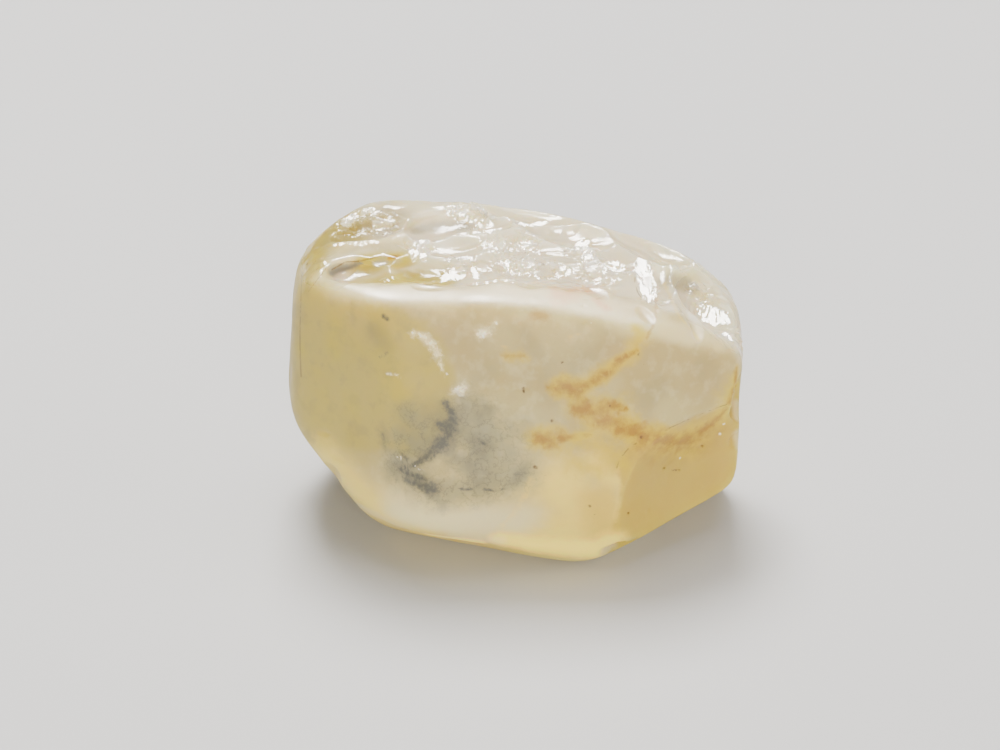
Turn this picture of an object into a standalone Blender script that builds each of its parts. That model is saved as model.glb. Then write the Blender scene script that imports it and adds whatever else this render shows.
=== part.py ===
"""A raw chrysoberyl: one worn, broken crystal about 12 mm long, resting on a small flat on its underside.

The stone is one solid. Its skin is worked out as a worn crystal: each crystal or break face is a plane at its own
distance from the heart of the stone, and wear rounds the edges where the faces meet. Chips, hollows and ledges are
then struck out of that skin with squashed spheres, which leave the crisp rims that a real chip has.

The frame is +X to the stone's right, +Y to its back and +Z up, with the origin on the surface that it rests on.
"""

from math import cos, radians, sin

import bmesh
import bpy
import numpy as np
from mathutils import Matrix, Vector, noise

MM = 0.001

# The heart of the stone, in millimetres above the origin: every face distance below is measured from it.
HEART = Vector((0.0, 0.4, 3.9))

# Faces of the crystal: the way each one looks, as degrees round from the front (+ to the right) and degrees
# above level, and its distance from the heart in millimetres.
FACES = {
    "crown": (0, 86, 3.85),
    "crown_left": (-100, 72, 5.16),
    "crown_right": (60, 78, 3.88),
    "crown_back_right": (150, 57, 4.52),
    "shoulder_right": (84, 50, 5.05),
    "shoulder_back_right": (128, 46, 5.28),
    "shoulder_left": (-92, 46, 6.3),
    "right_front": (30, 8, 4.35),
    "right_end": (90, -2, 5.92),
    "right_back": (135, -5, 5.0),
    "left_end": (-88, 4, 5.95),
    "left_front": (-38, 5, 4.5),
    "left_back": (-140, 5, 5.0),
    "front_upper": (0, 18, 3.45),
    "front_lower": (5, -10, 4.05),
    "back_upper": (178, 38, 4.5),
    "back": (184, 0, 4.0),
    "back_lower": (175, -45, 4.3),
    "under_left_front": (-50, -30, 5.38),
    "under_left": (-78, -36, 5.32),
    "under_right": (48, -50, 5.25),
    "under_front": (-20, -52, 4.55),
    "underside": (20, -89, 3.99),
}
WEAR_POWER = 30  # the higher it is, the less the edges between the faces are worn round

WAVER_HEIGHT = 0.05  # millimetres that the worn faces waver, which keeps them from being true planes
WAVER_LENGTH = 2.6  # millimetres from one waver to the next

BODY_SUBDIVISIONS = 7
CHIP_SUBDIVISIONS = 4
TRIANGLES_KEPT = 0.12  # share of the triangles that stays: the flat faces need few, and the rims keep theirs

# A chip is struck by a squashed ball. CAP_SHARE is the share of the ball's half height that sinks into the stone.
CAP_SHARE = 0.4
CHORD_SHARE = (1 - (1 - CAP_SHARE) ** 2) ** 0.5
RAGGEDNESS = 0.11  # how far a ball is from round, as a share of its radius: it makes the rims and floors uneven
RAGGED_SCALE = 1.7

# Chips: the middle of each on the skin, the way it looks (as for the faces), the degrees that it is rolled about
# that way, and its length, width and depth. All lengths are in millimetres. A chip that looks another way than
# the skin round it has a steep rim on the side that it leans to, and fades out on the other.
CHIPS = {
    "crown_pit_left": ((-3.8, -0.55, 7.72), (-90, 78), 84, 2.3, 1.25, 0.4),
    "crown_pit_middle": ((-1.7, -0.6, 7.68), (178, 82), 6, 3.4, 1.7, 0.36),
    "crown_pit_back": ((-1.4, 1.75, 7.86), (180, 84), 2, 2.9, 1.3, 0.34),
    "crown_flake_back_left": ((-3.9, 1.4, 7.8), (-150, 78), -22, 2.6, 1.3, 0.3),
    "crown_flake_back": ((0.6, 2.6, 7.6), (170, 70), 10, 3.0, 1.2, 0.26),
    "crown_step_left": ((-2.0, 0.6, 7.8), (160, 80), 12, 3.0, 1.2, 0.28),
    "crown_step_front": ((1.2, -0.45, 7.52), (150, 84), 26, 4.4, 1.5, 0.3),
    "crown_step_middle": ((0.7, 0.65, 7.68), (140, 80), 36, 3.4, 1.4, 0.32),
    "crown_step_back": ((1.2, 1.7, 7.62), (120, 76), 46, 3.2, 1.4, 0.3),
    "crown_step_right": ((2.7, 0.75, 7.42), (100, 72), -58, 2.4, 1.6, 0.32),
    "crown_flake_right": ((3.4, 1.9, 7.0), (120, 62), 30, 2.6, 1.6, 0.26),
    "crescent": ((3.75, 0.0, 7.1), (86, 60), 8, 2.4, 0.9, 0.32),
    "hollow_right": ((4.98, 0.2, 6.3), (88, 52), 24, 2.6, 2.1, 0.42),
    "ochre_break": ((4.0, -2.55, 2.75), (44, -12), 34, 5.4, 3.9, 0.5),
    "notch_right": ((5.75, -0.9, 4.0), (75, 8), 80, 1.3, 0.8, 0.24),
    "notch_low_right": ((5.75, -1.1, 2.75), (70, -10), 40, 0.9, 0.5, 0.2),
    "notch_bottom": ((2.5, -2.75, 0.55), (60, -40), 30, 1.2, 0.7, 0.22),
    "notch_low_left": ((-4.8, -1.5, 2.1), (-62, -30), 50, 1.6, 0.7, 0.2),
    "back_hollow": ((-1.3, 4.4, 4.6), (184, 8), 12, 4.8, 3.4, 0.55),
    "back_ledge": ((2.2, 4.0, 2.3), (172, -24), -14, 4.0, 1.5, 0.34),
    "back_right_flake": ((4.5, 2.7, 4.6), (132, 6), 55, 3.0, 2.0, 0.34),
    "back_left_flake": ((-4.6, 2.6, 5.4), (-136, 18), -35, 2.8, 1.8, 0.36),
    "under_flake": ((-3.6, 1.6, 0.9), (-110, -55), 25, 2.6, 1.6, 0.3),
}

BED_SIZE = (20.0, 20.0, 4.0)  # millimetres: the block whose top cuts the flat that the stone rests on
CRISP_ANGLE = 28  # degrees: two faces that meet more sharply than this keep a crisp edge


def way(round_from_front, above_level):
    """The unit vector that looks that many degrees round from the front and above level."""
    turn, lift = radians(round_from_front), radians(above_level)
    return Vector((sin(turn) * cos(lift), -cos(turn) * cos(lift), sin(lift)))


def skin_radius(directions):
    """Millimetres from the heart to the skin along each unit vector: the nearest face, its edges worn round."""
    crowding = np.zeros(len(directions))
    for round_from_front, above_level, distance in FACES.values():
        lean = directions @ np.array(way(round_from_front, above_level))
        crowding += (np.maximum(lean, 0.0) / distance) ** WEAR_POWER
    return crowding ** (-1.0 / WEAR_POWER)


def waver(point):
    """The millimetres that the skin stands proud of its worn faces at a point."""
    return WAVER_HEIGHT * noise.noise(point / WAVER_LENGTH)


def put_in(collection, name, mesh):
    thing = bpy.data.objects.new(name, mesh)
    collection.objects.link(thing)
    return thing


def make_body():
    """The worn crystal before anything is chipped off it."""
    mesh = bpy.data.meshes.new("chrysoberyl")
    bm = bmesh.new()
    bmesh.ops.create_icosphere(bm, subdivisions=BODY_SUBDIVISIONS, radius=1.0)
    directions = np.array([vert.co.normalized() for vert in bm.verts])
    for vert, direction, radius in zip(bm.verts, directions, skin_radius(directions)):
        outward = Vector(direction)
        on_skin = HEART + outward * radius
        vert.co = (on_skin + outward * waver(on_skin)) * MM
    bm.to_mesh(mesh)
    bm.free()
    return put_in(bpy.context.scene.collection, "chrysoberyl", mesh)


def as_cutter(solid):
    """Keeps a solid out of the render, and out of the way in the viewport."""
    solid.hide_render = True
    solid.display_type = "WIRE"


def facing_frame(facing, roll):
    """A turn that points a ball's height along the way it faces and its length across, rolled by some degrees."""
    outward = way(*facing)
    across = Vector((0, 0, 1)).cross(outward).normalized()
    up = outward.cross(across)
    frame = Matrix((across, up, outward)).transposed()
    return frame @ Matrix.Rotation(radians(roll), 3, "Z")


def make_chip(collection, name, middle, facing, roll, length, width, depth):
    """The squashed ball that strikes one chip: its rim is length by width on the skin, and it is depth deep."""
    half_height = depth / CAP_SHARE
    size = Vector((length / 2 / CHORD_SHARE, width / 2 / CHORD_SHARE, half_height)) * MM
    centre = (Vector(middle) + way(*facing) * half_height * (1 - CAP_SHARE)) * MM
    mesh = bpy.data.meshes.new(name)
    bm = bmesh.new()
    bmesh.ops.create_icosphere(bm, subdivisions=CHIP_SUBDIVISIONS, radius=1.0)
    for vert in bm.verts:
        vert.co *= 1 + RAGGEDNESS * noise.noise(vert.co * RAGGED_SCALE + Vector(middle))
    bmesh.ops.scale(bm, vec=size, verts=bm.verts[:])
    bmesh.ops.rotate(bm, cent=(0, 0, 0), matrix=facing_frame(facing, roll), verts=bm.verts[:])
    bm.to_mesh(mesh)
    bm.free()
    ball = put_in(collection, name, mesh)
    ball.location = centre
    as_cutter(ball)


def cut_away(body, name, cutters):
    """Cuts every solid in a collection out of the body."""
    cut = body.modifiers.new(name, "BOOLEAN")
    cut.operation = "DIFFERENCE"
    cut.solver = "EXACT"
    cut.operand_type = "COLLECTION"
    cut.collection = cutters


def collection_of_cutters(name):
    cutters = bpy.data.collections.new(name)
    bpy.context.scene.collection.children.link(cutters)
    return cutters


def strike_chips(body):
    """Takes every chip out of the body at once, then thins the mesh where it runs flat."""
    balls = collection_of_cutters("chips")
    for name, (middle, facing, roll, length, width, depth) in CHIPS.items():
        make_chip(balls, name, middle, facing, roll, length, width, depth)
    cut_away(body, "strike chips", balls)
    thin = body.modifiers.new("thin the flat runs", "DECIMATE")
    thin.ratio = TRIANGLES_KEPT


def cut_resting_flat(body):
    """Cuts off what reaches below the resting surface. It comes last, so that the flat is true."""
    mesh = bpy.data.meshes.new("bed")
    bm = bmesh.new()
    bmesh.ops.create_cube(bm, size=1.0)
    bmesh.ops.scale(bm, vec=Vector(BED_SIZE) * MM, verts=bm.verts[:])
    bm.to_mesh(mesh)
    bm.free()
    beds = collection_of_cutters("beds")
    bed = put_in(beds, "bed", mesh)
    bed.location.z = -BED_SIZE[2] / 2 * MM
    as_cutter(bed)
    cut_away(body, "cut the resting flat", beds)


def shade_smooth_between_rims(body):
    """Shades the worn skin smooth, and leaves an edge crisp where two faces meet sharply."""
    tree = bpy.data.node_groups.new("smooth between the rims", "GeometryNodeTree")
    tree.interface.new_socket("Geometry", in_out="INPUT", socket_type="NodeSocketGeometry")
    tree.interface.new_socket("Geometry", in_out="OUTPUT", socket_type="NodeSocketGeometry")
    stone = tree.nodes.new("NodeGroupInput")
    all_smooth = tree.nodes.new("GeometryNodeSetShadeSmooth")
    angle = tree.nodes.new("GeometryNodeInputMeshEdgeAngle")
    sharp = tree.nodes.new("FunctionNodeCompare")
    sharp.operation = "GREATER_THAN"
    sharp.inputs["B"].default_value = radians(CRISP_ANGLE)
    crisp_rims = tree.nodes.new("GeometryNodeSetShadeSmooth")
    crisp_rims.domain = "EDGE"
    crisp_rims.inputs["Shade Smooth"].default_value = False
    result = tree.nodes.new("NodeGroupOutput")
    tree.links.new(stone.outputs["Geometry"], all_smooth.inputs["Geometry"])
    tree.links.new(angle.outputs["Unsigned Angle"], sharp.inputs["A"])
    tree.links.new(all_smooth.outputs["Geometry"], crisp_rims.inputs["Geometry"])
    tree.links.new(sharp.outputs["Result"], crisp_rims.inputs["Selection"])
    tree.links.new(crisp_rims.outputs["Geometry"], result.inputs["Geometry"])
    body.modifiers.new("shade smooth between rims", "NODES").node_group = tree


def translucent_stone():
    """Pale straw-yellow stone with a waxy shine."""
    material = bpy.data.materials.new("milky_straw_stone")
    material.use_nodes = True
    surface = material.node_tree.nodes["Principled BSDF"]
    surface.inputs["Base Color"].default_value = (0.62, 0.52, 0.30, 1.0)
    surface.inputs["Roughness"].default_value = 0.35
    surface.inputs["Metallic"].default_value = 0.0
    surface.inputs["IOR"].default_value = 1.75
    return material


def main():
    for old in list(bpy.data.objects):
        bpy.data.objects.remove(old)
    body = make_body()
    strike_chips(body)
    cut_resting_flat(body)
    shade_smooth_between_rims(body)
    body.data.materials.append(translucent_stone())
    bpy.context.view_layer.update()


main()
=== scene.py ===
# %% [markdown]
# # A raw chrysoberyl
# The stone is one worn, broken crystal about 12 mm long. Light goes into it and comes out again somewhere
# else, so it glows like candle wax. Its crown is freshly broken and glassy, its other faces are worn and
# waxy, and rust has crept along its cracks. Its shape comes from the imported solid, which is the frame that
# this lesson loads first. Everything after that adds what a solid can't carry: fine relief, colour and
# shine.

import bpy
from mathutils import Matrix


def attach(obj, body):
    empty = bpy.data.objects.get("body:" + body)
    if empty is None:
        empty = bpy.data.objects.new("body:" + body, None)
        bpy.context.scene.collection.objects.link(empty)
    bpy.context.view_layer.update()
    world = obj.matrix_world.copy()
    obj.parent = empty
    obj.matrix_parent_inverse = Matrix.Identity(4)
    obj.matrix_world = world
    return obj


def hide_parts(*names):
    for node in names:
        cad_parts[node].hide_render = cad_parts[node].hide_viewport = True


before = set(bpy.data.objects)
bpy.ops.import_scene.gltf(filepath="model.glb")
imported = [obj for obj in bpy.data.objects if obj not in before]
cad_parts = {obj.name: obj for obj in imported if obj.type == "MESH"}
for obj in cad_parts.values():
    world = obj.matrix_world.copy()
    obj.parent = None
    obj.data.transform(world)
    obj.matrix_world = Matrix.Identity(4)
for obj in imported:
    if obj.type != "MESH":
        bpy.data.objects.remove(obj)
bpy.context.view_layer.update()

# %% The modules that the lesson uses
import math

import bmesh
import bpy
import numpy as np
from mathutils import Matrix, Vector
from mathutils.bvhtree import BVHTree

MM = 0.001
print("made with Blender", bpy.app.version_string)

# %% [markdown]
# ## The camera
# The stone was photographed from close by with a long lens, looking down on it by about thirty degrees. A
# long lens keeps the far end of the stone as large as the near end. The camera comes first, because every
# mark on the stone is judged through it.

# %% Set the camera
LOOKS_DOWN_BY = 30
CAMERA_DISTANCE = 110
LOOKED_AT = Vector((-0.4, 0.4, 4.0))
LENS_LENGTH = 150
SENSOR_WIDTH = 36
SEES_FROM = 5 * MM
SEES_TO = 20


def way(turn, height):
    """The unit vector that points towards a viewer who stands at that turn (0 is in front) and height."""
    turn, height = math.radians(turn), math.radians(height)
    return Vector((math.sin(turn) * math.cos(height), -math.cos(turn) * math.cos(height), math.sin(height)))


camera_data = bpy.data.cameras.new("camera")
camera_data.lens = LENS_LENGTH
camera_data.sensor_width = SENSOR_WIDTH
camera_data.clip_start = SEES_FROM
camera_data.clip_end = SEES_TO
camera = bpy.data.objects.new("camera", camera_data)
camera.location = (LOOKED_AT + way(0, LOOKS_DOWN_BY) * CAMERA_DISTANCE) * MM
camera.rotation_euler = (-way(0, LOOKS_DOWN_BY)).to_track_quat("-Z", "Y").to_euler()
bpy.context.scene.collection.objects.link(camera)
bpy.context.scene.camera = camera
print("the camera stands", CAMERA_DISTANCE, "mm away")

# %% [markdown]
# ## A fine skin over the solid
# The solid has a few thousand triangles, which is enough for its faces and chips but not for a broken
# crown. A voxel remesh lays an even net of small quads over it. The alternative, subdividing, would make
# the long triangles of the flat faces no better. The net is made in millimetres, because the remesh has a
# lower limit on its voxel size, and a few rounds of smoothing take the facets of the solid away.

# %% Copy the solid, in millimetres
MERGED_WITHIN = 1e-8
VOXEL = 0.047
SMOOTHING_ROUNDS = 3
SMOOTHING_SHARE = 0.5


def copy_in_millimetres(node, name):
    """A new object with a CAD node's mesh, its loose triangles merged, scaled up to millimetres."""
    bm = bmesh.new()
    bm.from_mesh(node.data)
    bmesh.ops.remove_doubles(bm, verts=bm.verts[:], dist=MERGED_WITHIN)
    bmesh.ops.scale(bm, vec=(1 / MM, 1 / MM, 1 / MM), verts=bm.verts[:])
    mesh = bpy.data.meshes.new(name)
    bm.to_mesh(mesh)
    bm.free()
    copy = bpy.data.objects.new(name, mesh)
    bpy.context.scene.collection.objects.link(copy)
    return copy


def apply_modifiers(thing):
    """Replaces an object's mesh by what its modifiers make of it, and removes them."""
    bpy.context.view_layer.update()
    graph = bpy.context.evaluated_depsgraph_get()
    made = bpy.data.meshes.new_from_object(thing.evaluated_get(graph))
    thing.modifiers.clear()
    old = thing.data
    thing.data = made
    bpy.data.meshes.remove(old)


def smooth_rounds(thing, rounds):
    """Moves every vertex part of the way to the middle of its neighbours, that many times."""
    soften = thing.modifiers.new("soften", "SMOOTH")
    soften.factor = SMOOTHING_SHARE
    soften.iterations = rounds
    apply_modifiers(thing)


def skin_of(thing):
    """The skin of an object as a search tree, which rays can be cast at."""
    corners = [vertex.co.copy() for vertex in thing.data.vertices]
    return BVHTree.FromPolygons(corners, [tuple(face.vertices) for face in thing.data.polygons])


stone = copy_in_millimetres(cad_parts["chrysoberyl"], "raw_stone")
skin = skin_of(stone)
net = stone.modifiers.new("even net", "REMESH")
net.mode = "VOXEL"
net.voxel_size = VOXEL
apply_modifiers(stone)
smooth_rounds(stone, SMOOTHING_ROUNDS)
print("the net has", len(stone.data.polygons), "quads")

# %% [markdown]
# ## Places as a viewer sees them
# Each chip and stain is written down as a viewer sees it: so many millimetres to
# the right and up from the middle of the view, 0, 0. A ray from the viewer's eye through that spot then
# finds the place on the skin. The same words work from any side: a viewer who has turned by 180 degrees
# stands behind.

# %% Find places on the skin


def eye_and_plane(turn):
    """The eye of a viewer at that turn, and the two ways that are right and up in what the viewer sees."""
    towards = way(turn, LOOKS_DOWN_BY)
    right = way(turn + 90, 0)
    return LOOKED_AT + towards * CAMERA_DISTANCE, right, towards.cross(right)


def on_the_skin(spot, turn=0):
    """The place on the stone that a viewer at that turn sees at a spot, and the way the skin faces there."""
    eye, right, up = eye_and_plane(turn)
    aim = LOOKED_AT + right * spot[0] + up * spot[1] - eye
    place, facing, _, _ = skin.ray_cast(eye, aim.normalized())
    return place, facing


def in_the_view(points, turn=0):
    """Where a viewer at that turn sees each point, in millimetres right and up of the middle."""
    eye, right, up = eye_and_plane(turn)
    from_eye = points - np.array(eye)
    nearness = CAMERA_DISTANCE / (from_eye @ -np.array(way(turn, LOOKS_DOWN_BY)))
    return np.stack([from_eye @ np.array(right) * nearness, from_eye @ np.array(up) * nearness], axis=1)


def positions_of(mesh):
    flat = np.empty(len(mesh.vertices) * 3)
    mesh.vertices.foreach_get("co", flat)
    return flat.reshape(-1, 3)


def normals_of(mesh):
    flat = np.empty(len(mesh.vertices) * 3)
    mesh.vertex_normals.foreach_get("vector", flat)
    return flat.reshape(-1, 3)


def keep_on_vertices(mesh, name, values):
    layer = mesh.attributes.get(name) or mesh.attributes.new(name, "FLOAT", "POINT")
    layer.data.foreach_set("value", np.asarray(values, np.float32))


def values_of(mesh, name):
    flat = np.empty(len(mesh.vertices))
    mesh.attributes[name].data.foreach_get("value", flat)
    return flat


def ramp(values, low, high):
    """0 at low, 1 at high, and a smooth step between them."""
    t = np.clip((values - low) / (high - low), 0, 1)
    return t * t * (3 - 2 * t)


middle_place, _ = on_the_skin((0, 0))
print("the middle of the view is", [round(n, 2) for n in middle_place])

# %% [markdown]
# ## Where the stone is freshly broken
# The crown and the hollow at its right end are fresh breaks: glassy, with ledges and small tilted facets.
# The rest is worn. One number per vertex says how fresh the break is there, from which way the skin looks
# and how far back it lies. Hackle, the fine steps that flash in the light, gathers in patches of that
# break.

# %% Where the breaks, the hackle and the ripples lie
# A patch is a spot as a viewer sees it, and how far the patch reaches from it, in millimetres.
HACKLE_PATCHES = [
    ((-4.04, 3.93), 0.5),
    ((-3.11, 3.96), 0.6),
    ((-3.69, 4.25), 0.4),
    ((-2.11, 3.35), 0.5),
    ((-0.79, 4.20), 0.8),
    ((-1.06, 2.98), 0.45),
    ((0.00, 3.38), 0.7),
    ((0.66, 3.40), 0.6),
    ((0.32, 2.93), 0.7),
    ((1.19, 2.82), 0.6),
    ((2.24, 3.30), 0.7),
    ((2.64, 2.82), 0.8),
    ((3.69, 2.72), 0.4),
    ((3.96, 2.37), 0.4),
    ((5.28, 2.11), 0.6),
]
STRIATIONS_AT = [((-5.17, 2.98), 0.9), ((-4.80, 2.82), 0.9)]
# The hidden sides, as a viewer who stands behind sees them.
BEHIND_TURN = 180
BREAKS_BEHIND = [
    ((0.93, -1.53), 2.2),
    ((-2.65, -3.34), 1.5),
    ((-5.0, -0.64), 1.3),
    ((4.3, 0.12), 1.3),
]
HACKLE_BEHIND = [
    ((1.7, -0.8), 0.8),
    ((0.2, -2.3), 0.7),
    ((-3.3, -3.2), 0.7),
    ((-5.0, -0.2), 0.6),
    ((4.6, 0.5), 0.6),
]
# Rings that spread from where a break was struck: the spot, the viewer's turn, then in millimetres from
# one ring to the next, from the spot to the first ring and to the last, and the rings' height.
RIPPLES = [
    ((5.70, 1.50), 0, 0.17, 0.45, 1.25, 0.022),
    ((2.7, -0.5), BEHIND_TURN, 0.36, 0.9, 2.9, 0.011),
    ((-1.4, -2.9), BEHIND_TURN, 0.3, 0.5, 1.6, 0.01),
    ((-4.2, -0.2), BEHIND_TURN, 0.24, 0.4, 1.3, 0.01),
]
# Waves that pull the rings out of true, and one that lets them come and go: how they run, and their size.
RING_WAVES = [((0.9, 1.3, 0.7), 1.4), ((-1.9, 0.8, 1.6), 1.0)]
RINGS_COME_AND_GO = (1.3, -0.9, 1.1)
RINGS_SHOW_BETWEEN = (-0.6, 0.6)
# The hollow at the right end is fresh within the first distance of its middle, and none of it past the
# second.
RIGHT_HOLLOW = ((5.70, 1.50), 1.2, 1.6)
# The crown: how far up its faces look, how high they lie, and how far back of the rounded front edge.
CROWN_LOOKS_UP = (0.35, 0.7)
CROWN_LIES_ABOVE = (5.2, 5.8)
CROWN_STARTS_BACK = (-1.35, -0.95)
FRONT_EDGE_WAVES = [(0.12, 2.1), (0.1, 5.3)]
SHARE_BEHIND = 0.6
CORE_OF_PATCH = 0.4
RIM_OF_PATCH = 1.1
# Where wear has rounded the front edge of the crown.
WORN_ROUND = [
    ((-4.59, 2.45), 0.7),
    ((-3.96, 2.24), 0.9),
    ((-3.03, 2.14), 1.0),
    ((-2.11, 2.06), 1.1),
    ((-1.06, 2.03), 1.2),
    ((0.00, 2.14), 1.2),
    ((1.06, 2.14), 1.2),
    ((1.98, 2.03), 1.1),
    ((2.90, 1.90), 1.0),
    ((3.69, 1.56), 0.7),
    ((4.54, 1.19), 0.6),
    ((5.28, 0.98), 0.6),
    ((5.91, 0.87), 0.5),
]
WORN_ROUNDS = 130
print(len(HACKLE_PATCHES + HACKLE_BEHIND), "patches of hackle and", len(RIPPLES), "sets of rings")

# %% Wear the edge round, and mark the breaks


def distance_from(points, spot, turn=0):
    place, _ = on_the_skin(spot, turn)
    return np.linalg.norm(points - np.array(place), axis=1)


def closeness(points, patches, turn=0):
    """1 in the middle of the nearest patch and 0 outside all of them."""
    close = np.zeros(len(points))
    for spot, reach in patches:
        away = distance_from(points, spot, turn) / reach
        close = np.maximum(close, 1 - ramp(away, CORE_OF_PATCH, RIM_OF_PATCH))
    return close


def wear_round(thing, patches, rounds):
    """Rounds the skin near the patches, as wear does: it moves there towards a much smoothed copy."""
    copy = bpy.data.objects.new("smoothed", thing.data.copy())
    bpy.context.scene.collection.objects.link(copy)
    smooth_rounds(copy, rounds)
    points = positions_of(thing.data)
    points += (positions_of(copy.data) - points) * closeness(points, patches)[:, None]
    thing.data.vertices.foreach_set("co", points.ravel())
    thing.data.update()
    bpy.data.objects.remove(copy)


def mark_the_breaks(thing):
    """Keeps on every vertex how fresh, hackly, striated and rippled the skin is there."""
    points, normals = positions_of(thing.data), normals_of(thing.data)
    looks_up = ramp(normals[:, 2], *CROWN_LOOKS_UP)
    high_up = ramp(points[:, 2], *CROWN_LIES_ABOVE)
    back = points[:, 1] + sum(height * np.sin(turns * points[:, 0]) for height, turns in FRONT_EDGE_WAVES)
    behind_edge = ramp(back, *CROWN_STARTS_BACK)
    hollow_at, full_within, none_past = RIGHT_HOLLOW
    right_hollow = 1 - ramp(distance_from(points, hollow_at), full_within, none_past)
    fresh = np.maximum(looks_up * high_up * behind_edge, right_hollow)
    fresh = np.maximum(fresh, SHARE_BEHIND * closeness(points, BREAKS_BEHIND, BEHIND_TURN))
    hackle = closeness(points, HACKLE_PATCHES) * fresh
    hackle = np.maximum(hackle, SHARE_BEHIND * closeness(points, HACKLE_BEHIND, BEHIND_TURN))
    rings = np.zeros(len(points))
    out_of_true = sum(size * np.sin(points @ np.array(run)) for run, size in RING_WAVES)
    comes_and_goes = ramp(np.sin(points @ np.array(RINGS_COME_AND_GO)), *RINGS_SHOW_BETWEEN)
    for spot, turn, length, first, last, height in RIPPLES:
        away = distance_from(points, spot, turn)
        shown = ramp(away, first, first + length) * (1 - ramp(away, last - 2 * length, last))
        rings += height * shown * comes_and_goes * np.sin(2 * np.pi * away / length + out_of_true)
    keep_on_vertices(thing.data, "fresh", fresh)
    keep_on_vertices(thing.data, "hackle", hackle)
    keep_on_vertices(thing.data, "striated", closeness(points, STRIATIONS_AT))
    keep_on_vertices(thing.data, "ripple", rings)


wear_round(stone, WORN_ROUND, WORN_ROUNDS)
mark_the_breaks(stone)
print("the front edge of the crown is worn round, and the breaks are marked")

# %% [markdown]
# ## Relief that follows the skin
# Broken crystal gives way in steps: flat splinters, longer than they are wide, each tilted its own way. A
# Geometry Nodes tree lays them over the skin by rule. A Voronoi pattern, stretched along the stone, shares
# the crown out into splinters, each with its own random slope, and the skin moves along its normal by that
# slope. The worn faces get a low, soft waviness instead, and the left end the fine parallel grooves that
# the crystal grew with. The tree's inputs name every size, so the relief can be tuned without opening it.

# %% Helpers for node trees


def put(tree, kind, settings=None, **values):
    """A new node. Settings are its own properties. Values go into its inputs: a link, or a plain value."""
    made = tree.nodes.new(kind)
    for name, value in (settings or {}).items():
        setattr(made, name, value)
    for name, value in values.items():
        fill(tree, made, name.replace("_", " "), value)
    return made


def fill(tree, node, name, value):
    """Fills an input, found by its name or its number, with an output or a plain value."""
    socket = node.inputs[name]
    if isinstance(value, bpy.types.NodeSocket):
        tree.links.new(value, socket)
    else:
        socket.default_value = value


def calculate(tree, operation, first, second=0.0, third=0.0):
    """The result of a Math node."""
    made = put(tree, "ShaderNodeMath", {"operation": operation})
    for index, value in enumerate((first, second, third)):
        fill(tree, made, index, value)
    return made.outputs[0]


def calculate_vector(tree, operation, first, second=(0.0, 0.0, 0.0), scale=1.0, result=0):
    """A result of a Vector Math node: its first output, or the one that the number gives."""
    made = put(tree, "ShaderNodeVectorMath", {"operation": operation})
    fill(tree, made, 0, first)
    if operation == "SCALE":
        fill(tree, made, "Scale", scale)
    else:
        fill(tree, made, 1, second)
    return made.outputs[result]


def map_range(tree, value, low, high, to_low=0.0, to_high=1.0, smooth=False):
    """The value, mapped from one range to another and kept inside it."""
    kind = {"interpolation_type": "SMOOTHSTEP" if smooth else "LINEAR"}
    made = put(tree, "ShaderNodeMapRange", kind, Value=value)
    for name, end in (("From Min", low), ("From Max", high), ("To Min", to_low), ("To Max", to_high)):
        fill(tree, made, name, end)
    return made.outputs[0]


def kept_value(tree, name):
    """A number kept on the vertices, as a field of a Geometry Nodes tree."""
    made = put(tree, "GeometryNodeInputNamedAttribute", {"data_type": "FLOAT"}, Name=name)
    return made.outputs["Attribute"]


def splinters(tree, place, size, tilt, seed):
    """Height of flat splinters of that size (a vector), each tilted at random by up to about that slope."""
    shifted = calculate_vector(tree, "ADD", place, seed)
    stretched = calculate_vector(tree, "DIVIDE", shifted, size)
    pattern = {"voronoi_dimensions": "3D", "feature": "F1"}
    cells = put(tree, "ShaderNodeTexVoronoi", pattern, Vector=stretched, Scale=1.0)
    in_cell = calculate_vector(tree, "SUBTRACT", stretched, cells.outputs["Position"])
    from_middle = calculate_vector(tree, "MULTIPLY", in_cell, size)
    slope = calculate_vector(tree, "SUBTRACT", cells.outputs["Color"], (0.5, 0.5, 0.5))
    rise = calculate_vector(tree, "DOT_PRODUCT", slope, from_middle, result=1)
    return calculate(tree, "MULTIPLY", calculate(tree, "MULTIPLY", rise, 2.0), tilt)


print("the helpers fill and link nodes in both kinds of tree")

# %% The relief tree
# Sizes in millimetres. A tilt is a slope, and a share is of the splinters' size.
RELIEF_INPUTS = {
    "Splinter Length": ("NodeSocketFloat", 0.55),
    "Splinter Width": ("NodeSocketFloat", 0.3),
    "Splinter Tilt": ("NodeSocketFloat", 0.22),
    "Ledge Spacing": ("NodeSocketFloat", 0.85),
    "Ledge Height": ("NodeSocketFloat", 0.07),
    "Waviness": ("NodeSocketFloat", 0.03),
    "Wave Length": ("NodeSocketFloat", 1.3),
    "Pit Depth": ("NodeSocketFloat", 0.018),
    "Groove Spacing": ("NodeSocketFloat", 0.13),
    "Groove Depth": ("NodeSocketFloat", 0.012),
    "Seed": ("NodeSocketFloat", 7.0),
    "Bend": ("NodeSocketFloat", 0.7),
    "Bend Length": ("NodeSocketFloat", 0.9),
    "Fine Share": ("NodeSocketFloat", 0.45),
    "Pit Spacing": ("NodeSocketFloat", 0.6),
    "Finish": ("NodeSocketMaterial", None),
}
# Noise scales are per millimetre. A pair says where a value starts to count and where it counts in full.
LEDGES_COME_AND_GO = 0.7
LEDGES_WHERE = (0.42, 0.6)
WAVE_DETAIL = 1.5
PIT_SIDE = (0.16, 0.06)
PIT_CHANCE = (0.55, 1.0)
GROOVES_CLIMB = (0.35, 0.55, -0.75)
GROOVES_WANDER = 2.2
GROOVES_WANDER_BY = 5.0
GROOVES_WHERE = (0.4, 0.65)
OFF_THE_FLAT = (0.05, 0.4)


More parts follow.
